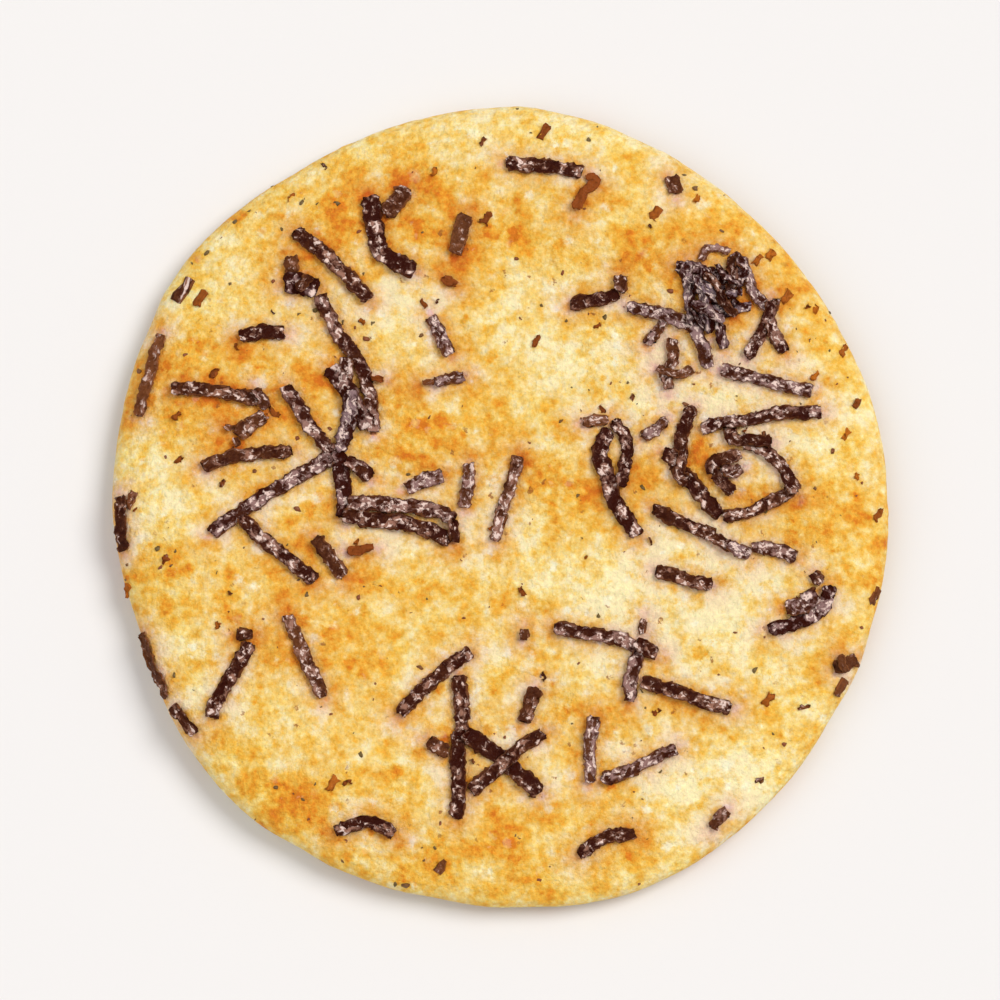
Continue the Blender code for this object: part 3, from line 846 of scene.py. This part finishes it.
def crust_material(settings):
    """Baked dough: how far it is done runs from cream through gold and amber to brown."""
    material, w, shader, where = new_material("baked_crust")
    toast = attribute(w, "toast")
    pale = attribute(w, "pale")
    rim = attribute(w, "rim")
    # All noises start from the underside's middle and would draw together there, so the underside
    # takes its pattern from farther down.
    deeper = w.point(0.0, 0.0, w.times(attribute(w, "lower"), LOWER_DEPTH))
    where = w.vector("SUBTRACT", where, deeper)
    # Spots have ragged borders: they are read through uneven noise, not as they are.
    ragged = w.noise(where, 0.50, 4.0, 0.65)
    browning = w.times(toast, w.between(ragged, 0.34, 0.64))
    paleness = w.times(pale, w.between(ragged, 0.72, 0.36))
    broad = w.noise(where, 0.10, 2.0)
    patches = w.noise(where, 0.33, 2.0, 0.55)
    mottle = w.noise(where, 1.05, 3.0, 0.6)
    grain = w.noise(where, 1.7, 4.0, 0.75)
    # Dots are uneven too: they are read at places that are bent a little.
    bend = w.add("ShaderNodeTexNoise", where, 1.1, 3.0, 0.7).outputs["Color"]
    bent = w.vector("ADD", where, w.vector("SCALE", bend, 1.6))
    charred = dots(w, bent, 0.42, 0.55, 0.44, 0.14)
    done = w.total(
        -1.540, (broad, 0.45), (patches, 1.50), (mottle, 1.10), (grain, 0.70), (browning, 0.38),
        (toast, 0.27), (paleness, -0.30), (pale, -0.14), (charred, 0.24))
    colour = ramp(w, done, (
        (0.0, settings.cream), (0.31, settings.gold), (0.56, settings.amber),
        (0.80, settings.toasted), (1.0, settings.browned)))
    # Freckles, where bits of seasoning sank into the dough, fewer of them on the rim.
    freckle = dots(w, bent, 0.75, 0.60, 0.24)
    freckle = w.times(freckle, w.between(ragged, 0.40, 0.55), w.total(0.80, (rim, -0.50)))
    colour = mix(w, freckle, colour, settings.freckle)
    # Starchy dots, partly painted highlights, and larger softer dots that are painted highlights,
    # plainest where the dough is least done.
    starch_and_highlight = dots(w, bent, 0.62, 0.50, 0.34)
    starch_and_highlight = w.times(starch_and_highlight, w.total(0.12, (w.between(done, 0.42, 0.08), 0.50)))
    painted_highlights = dots(w, bent, 0.50, 0.66, 0.44, 0.24)
    painted_highlights = w.times(painted_highlights, w.total(0.12, (w.between(done, 0.70, 0.30), 0.48)))
    colour = mix(w, w.math("MAXIMUM", starch_and_highlight, painted_highlights), colour, settings.starch_and_highlight)
    # Dull, less yellow dough lies round the seaweed, partly seaweed staining and partly painted
    # shade round the shreds, and in small clouds.
    clouds = w.noise(where, 0.30, 5.0, 0.75)
    broken = w.total(0.10, (w.noise(where, 0.95, 4.0, 0.7), 1.80))
    near = w.times(attribute(w, "near"), broken)
    stain_and_shade = w.total(
        -1.12, (near, 2.2), (toast, 0.25), (clouds, 1.75), (rim, -0.15), (pale, -0.15))
    stained_and_shaded = w.vector("SUBTRACT", (1.0, 1.0, 1.0), w.vector("SCALE", (0.085, 0.20, 0.10), stain_and_shade))
    colour = w.vector("MULTIPLY", colour, stained_and_shaded)
    # Each grain of the dough is a little lighter or darker than the next.
    speckle = w.noise(where, 1.5, 4.0, 0.78)
    colour = w.vector("SCALE", colour, w.total(0.65, (speckle, 0.70)))
    w.give(shader.inputs["Base Color"], colour)
    shine = w.total(settings.roughness - 0.25, (mottle, 0.30), (grain, 0.20), (browning, 0.10))
    w.give(shader.inputs["Roughness"], shine)
    shader.inputs["Specular IOR Level"].default_value = 0.20
    shader.inputs["Subsurface Weight"].default_value = 0.10
    shader.inputs["Subsurface Radius"].default_value = (1.0, 0.5, 0.2)
    shader.inputs["Subsurface Scale"].default_value = 1.2 * MM
    pebbles, _ = w.cells(where, 1.6)
    height = w.total(0.0, (w.noise(where, 1.8, 4.0, 0.7), 1.0), (pebbles, -0.30))
    raise_bump(w, shader, height, 0.42 * MM)
    return material


class CRACKER_OT_crust(bpy.types.Operator):
    """Wrap a fine skin on the modelled body and bake it"""

    bl_idname = "cracker.crust"
    bl_label = "Crust"

    def execute(self, context):
        settings = context.scene.cracker_crust
        material = crust_material(settings)
        skin = grow("wrapped_skin", crust_blank(), wrap_tree(material), {
            "Body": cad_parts[CRUST_NODE], "Rounding": EDGE_ROUNDING,
            "Middle Height": EDGE_HEIGHT, "Far": WIDTH, "Smoothing": WRAP_SMOOTHING,
            "Fill": EDGE_FILL})
        mesh = skin.data
        points = points_of(mesh)
        share = np.empty(len(points), np.float32)
        mesh.attributes["share"].data.foreach_get("value", share)
        add_values(mesh, "toast", spots(points, TOASTED, MOST_TOASTED))
        add_values(mesh, "pale", spots(points, PALE, MOST_PALE))
        # Nearness to the shreds, by which the crust's colour is duller there: partly seaweed
        # staining and partly painted shade.
        add_values(mesh, "near", nearness(points, SHREDS, STAIN_AND_SHADE_REACH))
        add_values(mesh, "rim", np.clip((share - RIM_START) / (1.0 - RIM_START), 0.0, 1.0))
        lower = np.clip((LOWER_START - share) / (LOWER_START - LOWER_FULL), 0.0, 1.0)
        add_values(mesh, "lower", np.where(points[:, 2] < EDGE_HEIGHT, lower, 0.0))
        crust = grow("crust", mesh, relief_tree(material), {
            "Grain Height": settings.grain_height, "Grain Size": settings.grain_size,
            "Bubble Height": settings.bubble_height, "Bubble Size": settings.bubble_size,
            "Pit Depth": settings.pit_depth})
        bpy.data.objects.remove(skin)
        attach(crust, BODY)
        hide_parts(CRUST_NODE)
        return {"FINISHED"}


# ---------- Seaweed ----------


def on_plane(x, y):
    """A listed place as a point on the plane that the cracker lies on, in metres."""
    return Vector((x + PLACES_FROM[0], y + PLACES_FROM[1], 0.0)) * MM


def along(places, spacing):
    """Points every spacing or so along a run of places."""
    found = [places[0]]
    for start, end in zip(places, places[1:]):
        count = max(1, math.ceil((end - start).length / spacing))
        found += [start.lerp(end, step / count) for step in range(1, count + 1)]
    return found


def stack_levels(shreds):
    """Each shred's level: one above the highest earlier shred that it touches."""
    levels, laid = [], []
    for width, _, _, *places in shreds:
        run = along([Vector(place) for place in places], TOUCH_STEP)
        run = np.array([point[:] for point in run])
        level = 0
        for other_run, other_width, other_level in laid:
            gaps = np.linalg.norm(run[:, None] - other_run[None], axis=-1)
            if gaps.min() < (width + other_width) / 2.0:
                level = max(level, other_level + 1)
        laid.append((run, width, level))
        levels.append(level)
    return levels


def shred_runs(shreds):
    """A mesh of bare edges, one run for each shred, with its half width, tone and shine."""
    points, edges, half_widths, tones, shines = [], [], [], [], []
    for width, tone, shine, *places in shreds:
        run = [on_plane(x, y) for x, y in places]
        first = len(points)
        points += run
        edges += [(first + step, first + step + 1) for step in range(len(run) - 1)]
        half_widths += [width * MM * SHRED_HALF] * len(run)
        tones += [tone] * len(run)
        shines += [shine] * len(run)
    mesh = bpy.data.meshes.new("shred_runs")
    mesh.from_pydata(points, edges, [])
    add_values(mesh, "half_width", half_widths)
    add_values(mesh, "tone", tones)
    add_values(mesh, "shine", shines)
    return mesh


def lengthwise(w, where, read):
    """Place on a strip, for patterns drawn out along it: its way, its side, and a slow drift."""
    slow = w.vector("DOT_PRODUCT", where, (0.10, 0.13, 0.0))
    return w.point(w.times(read(w, "way"), 0.62), w.times(read(w, "side"), 0.58), slow)


def look_down(w, body, far):
    """What a ray that looks down on a body from far above each point meets."""
    flat = w.vector("MULTIPLY", w.position(), (1.0, 1.0, 0.0))
    above = w.vector("ADD", flat, w.point(0.0, 0.0, far))
    return w.add("GeometryNodeRaycast", body, None, above, (0.0, 0.0, -1.0), RAY_LENGTH).outputs


def shred_tree(material):
    """Sweep a flat section along each run and drape it on the crust and on the shreds below."""
    tree, w, given = new_tree("Draped shreds", (
        ("Crust", "Object"), ("Pile", "Object"), ("Thickness", "Float"), ("Crinkle", "Float"),
        ("Curl", "Float"), ("Wander", "Float"), ("Spacing", "Float"), ("Far", "Float")))
    position = w.position()
    place = w.parts(position)
    where = w.vector("ADD", position, SHRED_SEED)

    curve = w.out("GeometryNodeMeshToCurve", given["Geometry"])
    curve = w.add("GeometryNodeResampleCurve", curve, mode="LENGTH")
    w.give(curve.inputs["Length"], given["Spacing"])
    # Corners are rounded, and each run wanders a little.
    rounded = w.out(
        "GeometryNodeBlurAttribute", position, CORNER_SMOOTHING, data_type="FLOAT_VECTOR")
    curve = w.move(curve.outputs["Curve"], rounded)
    drift = w.vector("MULTIPLY", w.scatter(where, 300.0, 3.0, 0.6), (2.0, 2.0, 0.0))
    curve = w.move(curve, None, w.vector("SCALE", drift, given["Wander"]))
    curve = w.out("GeometryNodeSetCurveNormal", curve, None, mode="Z_UP")

    # Cut ends: the width falls off a little at the tips, and is uneven all along.
    gone = w.add("GeometryNodeSplineParameter").outputs["Length"]
    whole = w.add("GeometryNodeSplineLength").outputs["Length"]
    to_end = w.math("MINIMUM", gone, w.math("SUBTRACT", whole, gone))
    end = w.out("ShaderNodeMapRange", to_end, 0.0, CUT_END, 0.75, 1.0)
    uneven = w.total(0.52, (w.noise(where, 700.0, 3.0, 0.7), 0.8))
    curve = w.store(curve, "spread", w.times(named(w, "half_width"), w.times(end, uneven)))
    curve = w.store(curve, "way", w.math("DIVIDE", gone, MM))
    # Place within the section: side and up, both from -1 to 1.
    section = w.out("GeometryNodeCurvePrimitiveCircle", SECTION_CORNERS, None, None, None, 1.0)
    section = w.store(section, "side", place["X"])
    section = w.store(section, "up", place["Y"])
    sweep = w.add("GeometryNodeCurveToMesh", curve, section)
    w.give(sweep.inputs["Scale"], named(w, "spread"))
    w.give(sweep.inputs["Fill Caps"], True)

    def ground(target):
        """Height of what lies below a point, or 0 where nothing does."""
        ray = look_down(w, w.shape_of(target), given["Far"])
        return w.times(w.parts(ray["Hit Position"])["Z"], ray["Is Hit"])

    base = w.math("MAXIMUM", ground(given["Crust"]), ground(given["Pile"]))
    shreds = w.store(sweep.outputs["Mesh"], "base", w.math("MAXIMUM", base, EDGE_HEIGHT))
    # A shred bridges dips instead of following them down.
    base = named(w, "base")
    base = w.math("MAXIMUM", base, w.out("GeometryNodeBlurAttribute", base, BRIDGE_SMOOTHING))
    crinkle = w.total(
        -1.0, (w.noise(where, 900.0, 3.0, 0.6), 1.2), (w.noise(where, 2600.0, 2.0), 0.8))
    crinkle = w.times(crinkle, given["Crinkle"])
    # Long edges turn up here and there, and folds run lengthwise.
    side = named(w, "side")
    turned = w.times(side, side, given["Curl"], w.noise(where, 420.0))
    fold = w.noise(lengthwise(w, w.vector("SCALE", position, 1.0 / MM), named), 0.8, 2.0, 0.5)
    turned = w.math("ADD", turned, w.times(w.between(fold, 0.40, 0.62), given["Curl"]))
    # The section is nearly square, not round.
    up = named(w, "up")
    square = w.times(w.math("SIGN", up), w.math("POWER", w.math("ABSOLUTE", up), 0.4))
    body_height = w.times(w.total(0.5, (square, 0.5)), given["Thickness"])
    height = w.math("ADD", w.math("ADD", base, body_height), turned)
    # Crinkles lift the shred off the crust in places, and press it in by a hair at most.
    height = w.math("ADD", height, w.math("MAXIMUM", crinkle, -0.02 * MM))
    ragged = w.scatter(where, 1700.0, 3.0, 0.7, (0.5, 0.5, 0.4))
    shreds = w.move(
        shreds, w.point(place["X"], place["Y"], height), w.vector("SCALE", ragged, FRAYING))
    finish_tree(w, shreds, material)
    return tree


def seaweed_material(settings):
    """Roasted seaweed: black to brown and wrinkled, with painted sheen and painted glint spots on
    its crinkles.
    """
    material, w, shader, where = new_material("roasted_seaweed")
    tone = attribute(w, "tone")
    broad = w.noise(where, 0.55, 3.0, 0.6)
    fine = w.noise(where, 2.6, 4.0, 0.7)
    # A shred's long edges are thin, and the crust shows through them.
    edge = w.math("ABSOLUTE", attribute(w, "side"))
    thin = w.between(edge, 0.75, 1.05)
    brownness = w.total(-0.60, (tone, 0.9), (broad, 0.70), (fine, 0.60), (thin, 0.50))
    light = mix(w, w.between(tone, 0.50, 0.80), settings.brown, settings.rust)
    scorch = w.total(-0.30, (tone, 1.0), (fine, 0.60))
    light = mix(w, w.between(scorch, 0.95, 1.50), light, settings.scorched)
    colour = mix(w, w.between(brownness, 0.0, 1.0), settings.black, light)
    # Painted sheen: dull pale streaks run along the middle, with small bright painted glint spots
    # where they are strongest. Each shred's shine sets how much of both it has.
    strip = lengthwise(w, where, attribute)
    shine = attribute(w, "shine")
    streaks = w.total(-0.062, (w.noise(strip, 1.15, 4.0, 0.68), 1.0), (shine, 0.11))
    spots_along = w.noise(strip, 3.2, 2.0, 0.5)
    dark_leaf = w.times(w.between(edge, 1.05, 0.65), w.between(tone, 0.80, 0.40))
    sheen = w.times(w.between(streaks, 0.44, 0.60), dark_leaf)
    painted_glint_mask = w.times(w.between(spots_along, 0.50, 0.58), w.between(streaks, 0.47, 0.56))
    # The painted sheen is brown, grey on the shiniest shreds and cold on the blackest.
    sheen_colour = mix(w, w.between(shine, 0.30, 1.0), settings.sheen, settings.silver)
    sheen_colour = mix(w, w.between(tone, 0.0, -0.50), sheen_colour, settings.steel)
    colour = mix(w, w.times(sheen, 0.66), colour, sheen_colour)
    colour = mix(w, w.times(painted_glint_mask, dark_leaf), colour, settings.painted_glint_colour)
    w.give(shader.inputs["Base Color"], colour)
    w.give(shader.inputs["Roughness"], w.total(0.22, (broad, 0.25), (fine, 0.20)))
    shader.inputs["Specular IOR Level"].default_value = 0.03
    shader.inputs["Coat Weight"].default_value = 0.06
    shader.inputs["Coat Roughness"].default_value = 0.10
    height = w.total(0.0, (streaks, 1.2), (w.noise(where, 4.5, 2.0, 0.6), 0.35))
    raise_bump(w, shader, height, 0.40 * MM)
    return material


class CRACKER_OT_shreds(bpy.types.Operator):
    """Lay the seaweed shreds on the crust, level after level"""

    bl_idname = "cracker.shreds"
    bl_label = "Seaweed Shreds"

    def execute(self, context):
        settings = context.scene.cracker_seaweed
        material = seaweed_material(settings)
        tree = shred_tree(material)
        levels = stack_levels(SHREDS)
        pile = bpy.data.objects.new("seaweed_shreds", bpy.data.meshes.new("seaweed_shreds"))
        context.scene.collection.objects.link(pile)
        for level in range(max(levels) + 1):
            runs = shred_runs([shred for shred, own in zip(SHREDS, levels) if own == level])
            layer = grow("shred_level", runs, tree, {
                "Crust": bpy.data.objects["crust"], "Pile": pile,
                "Thickness": settings.thickness, "Crinkle": settings.crinkle,
                "Curl": settings.curl, "Wander": settings.wander,
                "Spacing": SECTION_STEP, "Far": FAR_ABOVE})
            join_onto(pile, layer)
        # The sweep has the section's upper side underneath. Setting the heights puts it on top,
        # which turns each shell inside out, so the faces are flipped to point outwards.
        pile.data.flip_normals()
        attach(pile, BODY)
        return {"FINISHED"}


def join_onto(pile, layer):
    """Add a layer's mesh to the pile's, and drop the layer."""
    if pile.data.vertices:
        with bpy.context.temp_override(active_object=pile, selected_editable_objects=[pile, layer]):
            bpy.ops.object.join()
    else:
        pile.data = layer.data
        bpy.data.objects.remove(layer)


def strewn(w, surface, least_facing, density, seed):
    """Points strewn over a surface where its normal's Z is above least_facing."""
    points = w.add("GeometryNodeDistributePointsOnFaces", surface)
    facing = w.parts(w.out("GeometryNodeInputNormal"))["Z"]
    w.give(points.inputs["Selection"], w.math("GREATER_THAN", facing, least_facing))
    w.give(points.inputs["Density"], density)
    w.give(points.inputs["Seed"], seed)
    return points.outputs["Points"]


def with_listed(w, listed, points):
    """Strewn points, and one at each point of a mesh of listed places."""
    both = w.add("GeometryNodeJoinGeometry")
    w.give(both.inputs[0], w.out("GeometryNodeMeshToPoints", listed))
    w.give(both.inputs[0], points)
    return both.outputs[0]


def laid_flat(w, points, crust, far, shape, scale, crumple):
    """Drop points straight onto the crust, without those beside it, and put a shape on each, flat
    on the crust and turned at random. All are crumpled by offsets and kept above the floor."""
    ray = look_down(w, crust, far)
    missed = w.out("FunctionNodeBooleanMath", ray["Is Hit"], operation="NOT")
    points = w.out("GeometryNodeDeleteGeometry", points, missed)
    points = w.out("GeometryNodeStoreNamedAttribute", points, None, "facing", ray["Hit Normal"],
                   data_type="FLOAT_VECTOR")
    points = w.move(points, ray["Hit Position"])
    facing = w.out("GeometryNodeInputNamedAttribute", "facing", data_type="FLOAT_VECTOR")
    upright = w.out("FunctionNodeAlignRotationToVector", None, None, facing, axis="Z")
    turn = w.random(0.0, 2.0 * math.pi, 6)
    spin = w.out("FunctionNodeAxisAngleToRotation", (0.0, 0.0, 1.0), turn)
    rotation = w.out("FunctionNodeRotateRotation", upright, spin, rotation_space="LOCAL")
    laid = w.out("GeometryNodeInstanceOnPoints", points, None, shape, None, None, rotation, scale)
    laid = w.out("GeometryNodeRealizeInstances", laid)
    return w.above_floor(w.move(laid, None, crumple))


def flake_tree(material):
    """Lay a bent flake at each listed point and at strewn places."""
    tree, w, given = new_tree("Strewn flakes", (
        ("Crust", "Object"), ("Stray Density", "Float"), ("Stray Seed", "Int"), ("Far", "Float")))
    crust = w.shape_of(given["Crust"])
    strays = strewn(w, crust, 0.2, given["Stray Density"], given["Stray Seed"])
    strays = w.store(strays, "length", w.random(*STRAY_LENGTHS, 3))
    strays = w.store(strays, "tone", w.random(*STRAY_TONES, 4))
    points = w.store(with_listed(w, given["Geometry"], strays), "shine", FLAKE_SHINE)

    # A flake starts as a thin block with a few cells along and across it, so that it can bend.
    place = w.position()
    corner = w.parts(place)
    flake = w.add("GeometryNodeMeshCube", (1.0, 1.0, 1.0), 5, 4, 2).outputs["Mesh"]
    flake = w.store(flake, "way", corner["X"])
    flake = w.store(flake, "side", w.times(corner["Y"], 2.0))
    length = named(w, "length")
    scale = w.point(length, w.times(length, w.random(*FLAKE_WIDTHS, 7)), FLAKE_THICKNESS)
    crumple = w.scatter(w.vector("ADD", place, SHRED_SEED), 1500.0, 3.0, 0.7, (0.5, 0.5, 0.45))
    crumple = w.vector("SCALE", crumple, FLAKE_CRUMPLING)
    finish_tree(w, laid_flat(w, points, crust, given["Far"], flake, scale, crumple), material)
    return tree


class CRACKER_OT_flakes(bpy.types.Operator):
    """Strew single flakes of seaweed on the crust"""

    bl_idname = "cracker.flakes"
    bl_label = "Seaweed Flakes"

    def execute(self, context):
        settings = context.scene.cracker_seaweed
        mesh = bpy.data.meshes.new("flake_places")
        mesh.from_pydata([on_plane(x, y) for x, y, _, _ in FLAKES], [], [])
        add_values(mesh, "length", [length * MM for _, _, length, _ in FLAKES])
        add_values(mesh, "tone", [tone for _, _, _, tone in FLAKES])
        flakes = grow("seaweed_flakes", mesh, flake_tree(bpy.data.materials["roasted_seaweed"]), {
            "Crust": bpy.data.objects["crust"], "Stray Density": settings.stray_flakes,
            "Stray Seed": STRAY_FLAKE_SEED, "Far": FAR_ABOVE})
        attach(flakes, BODY)
        return {"FINISHED"}


# ---------- Seasoning ----------


def speck_tree(material):
    """Strew fine specks over the upper face and the edge."""
    tree, w, given = new_tree("Strewn specks", (
        ("Crust", "Object"), ("Density", "Float"), ("Size", "Float"), ("Seed", "Int"),
        ("Far", "Float")))
    crust = w.shape_of(given["Crust"])
    specks = strewn(w, crust, 0.1, given["Density"], given["Seed"])
    specks = w.store(specks, "shade", w.random(0.0, 1.0, 8))
    # Most specks are small.
    grade = w.total(0.35, (w.math("POWER", w.random(0.0, 1.0, 9), 2.2), 0.65))
    specks = w.store(specks, "size", w.times(grade, given["Size"]))
    points = with_listed(w, given["Geometry"], specks)

    speck = w.add("GeometryNodeMeshIcoSphere", 1.0, 1).outputs["Mesh"]
    scale = w.vector("SCALE", w.random(*SPECK_SHAPES, 10), named(w, "size"))
    crumple = w.vector("SCALE", w.scatter(w.position(), 2500.0, 2.0, 0.6), SPECK_CRUMPLING)
    finish_tree(w, laid_flat(w, points, crust, given["Far"], speck, scale, crumple), material)
    return tree


def speck_material(settings):
    """Dried spice, from olive to red-brown."""
    material, w, shader, where = new_material("seasoning")
    shade = attribute(w, "shade")
    colour = mix(w, w.between(shade, 0.35, 0.75), settings.olive, settings.red)
    grain = w.noise(where, 5.0, 2.0)
    colour = mix(w, w.times(grain, 0.35), colour, (0.04, 0.02, 0.01))
    w.give(shader.inputs["Base Color"], colour)
    w.give(shader.inputs["Roughness"], w.total(0.35, (grain, 0.30)))
    raise_bump(w, shader, grain, 0.05 * MM, 0.6)
    return material


class CRACKER_OT_seasoning(bpy.types.Operator):
    """Strew fine specks of seasoning over the crust"""

    bl_idname = "cracker.seasoning"
    bl_label = "Seasoning"

    def execute(self, context):
        settings = context.scene.cracker_seasoning
        mesh = bpy.data.meshes.new("speck_places")
        mesh.from_pydata([on_plane(x, y) for x, y, _, _ in SPECKS], [], [])
        add_values(mesh, "size", [length * MM / 2.0 for _, _, length, _ in SPECKS])
        add_values(mesh, "shade", [shade for _, _, _, shade in SPECKS])
        specks = grow("seasoning_specks", mesh, speck_tree(speck_material(settings)), {
            "Crust": bpy.data.objects["crust"], "Density": settings.density,
            "Size": settings.size, "Seed": SPECK_SEED, "Far": FAR_ABOVE})
        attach(specks, BODY)
        return {"FINISHED"}


# ---------- Studio ----------


def floor_material(settings):
    """Matt pale card, very slightly clouded."""
    material, w, shader, where = new_material("pale_floor")
    cloud = w.times(w.noise(where, 0.004, 2.0), 0.06)
    w.give(shader.inputs["Base Color"], mix(w, cloud, settings.floor, (0.80, 0.78, 0.76)))
    shader.inputs["Roughness"].default_value = 0.85
    return material


def direction(azimuth, elevation):
    """Unit vector towards an azimuth from -Y, turning to +X, and an elevation, both in degrees."""
    a, e = math.radians(azimuth), math.radians(elevation)
    return Vector((math.sin(a) * math.cos(e), -math.cos(a) * math.cos(e), math.sin(e)))


def turned_to(towards):
    """The turn of a light or camera that stands in a direction and looks back at the middle."""
    return towards.to_track_quat("Z", "Y").to_euler()


def soft_light(name, light, strength):
    """A far light, as soft as it looks wide."""
    azimuth, elevation, width, colour = light
    lamp = bpy.data.lights.new(name, "SUN")
    lamp.angle = math.radians(width)
    lamp.energy = strength
    lamp.color = colour
    sun = bpy.data.objects.new(name, lamp)
    sun.rotation_euler = turned_to(direction(azimuth, elevation))
    bpy.context.scene.collection.objects.link(sun)


class CRACKER_OT_stage(bpy.types.Operator):
    """Make the floor, the soft lights and the camera"""

    bl_idname = "cracker.stage"
    bl_label = "Studio"

    def execute(self, context):
        settings = context.scene.cracker_studio
        scene = context.scene
        centre = Vector((0.0, 0.0, THICKNESS / 2.0))
        floor_mesh = bpy.data.meshes.new("floor")
        corners = ((-1.0, -1.0), (1.0, -1.0), (1.0, 1.0), (-1.0, 1.0))
        floor_mesh.from_pydata(
            [(x * FLOOR_REACH, y * FLOOR_REACH, 0.0) for x, y in corners], [], [(0, 1, 2, 3)])
        floor_mesh.materials.append(floor_material(settings))
        floor = bpy.data.objects.new("floor", floor_mesh)
        scene.collection.objects.link(floor)

        soft_light("key", KEY_LIGHT, settings.key)
        soft_light("fill", FILL_LIGHT, settings.fill)
        world = bpy.data.worlds.new("sky")
        world.use_nodes = True
        sky = world.node_tree.nodes["Background"].inputs
        sky["Color"].default_value = SKY_COLOUR
        sky["Strength"].default_value = settings.sky
        scene.world = world
        scene.view_settings.view_transform = "Standard"

        camera_data = bpy.data.cameras.new("camera")
        camera = bpy.data.objects.new("camera", camera_data)
        back = direction(0.0, math.degrees(settings.elevation))
        camera.location = centre + back * settings.distance
        camera.rotation_euler = turned_to(back)
        picture_width = (HIGH.y - LOW.y) * settings.margin
        camera_data.lens = camera_data.sensor_width * settings.distance / picture_width
        camera_data.clip_start = 0.01
        scene.collection.objects.link(camera)
        scene.camera = camera
        return {"FINISHED"}


class CRACKER_PT_panel(bpy.types.Panel):
    """Sizes and colours, and a button for each piece"""

    bl_label = "Seaweed rice cracker"
    bl_idname = "CRACKER_PT_panel"
    bl_space_type = "VIEW_3D"
    bl_region_type = "UI"
    bl_category = "Cracker"

    def draw(self, context):
        for name, _, operators in GROUPS:
            box = self.layout.box()
            settings = getattr(context.scene, name)
            for key in settings.__annotations__:
                box.prop(settings, key)
            for operator in operators:
                box.operator(operator.bl_idname)


# Each group of settings: its name in the scene, its class and the operators that use it.
GROUPS = (
    ("cracker_crust", CrustLooks, (CRACKER_OT_crust,)),
    ("cracker_seaweed", SeaweedLooks, (CRACKER_OT_shreds, CRACKER_OT_flakes)),
    ("cracker_seasoning", SeasoningLooks, (CRACKER_OT_seasoning,)),
    ("cracker_studio", StudioLooks, (CRACKER_OT_stage,)),
)
CLASSES = (
    CrustLooks, SeaweedLooks, SeasoningLooks, StudioLooks, CRACKER_OT_crust, CRACKER_OT_shreds,
    CRACKER_OT_flakes, CRACKER_OT_seasoning, CRACKER_OT_stage, CRACKER_PT_panel,
)


def register():
    for cls in CLASSES:
        bpy.utils.register_class(cls)
    for name, group, _ in GROUPS:
        setattr(bpy.types.Scene, name, bpy.props.PointerProperty(type=group))


def unregister():
    for name, _, _ in GROUPS:
        delattr(bpy.types.Scene, name)
    for cls in reversed(CLASSES):
        bpy.utils.unregister_class(cls)


def main():
    register()
    bpy.ops.cracker.crust()
    bpy.ops.cracker.shreds()
    bpy.ops.cracker.flakes()
    bpy.ops.cracker.seasoning()
    bpy.ops.cracker.stage()


if __name__ == "__main__":
    main()
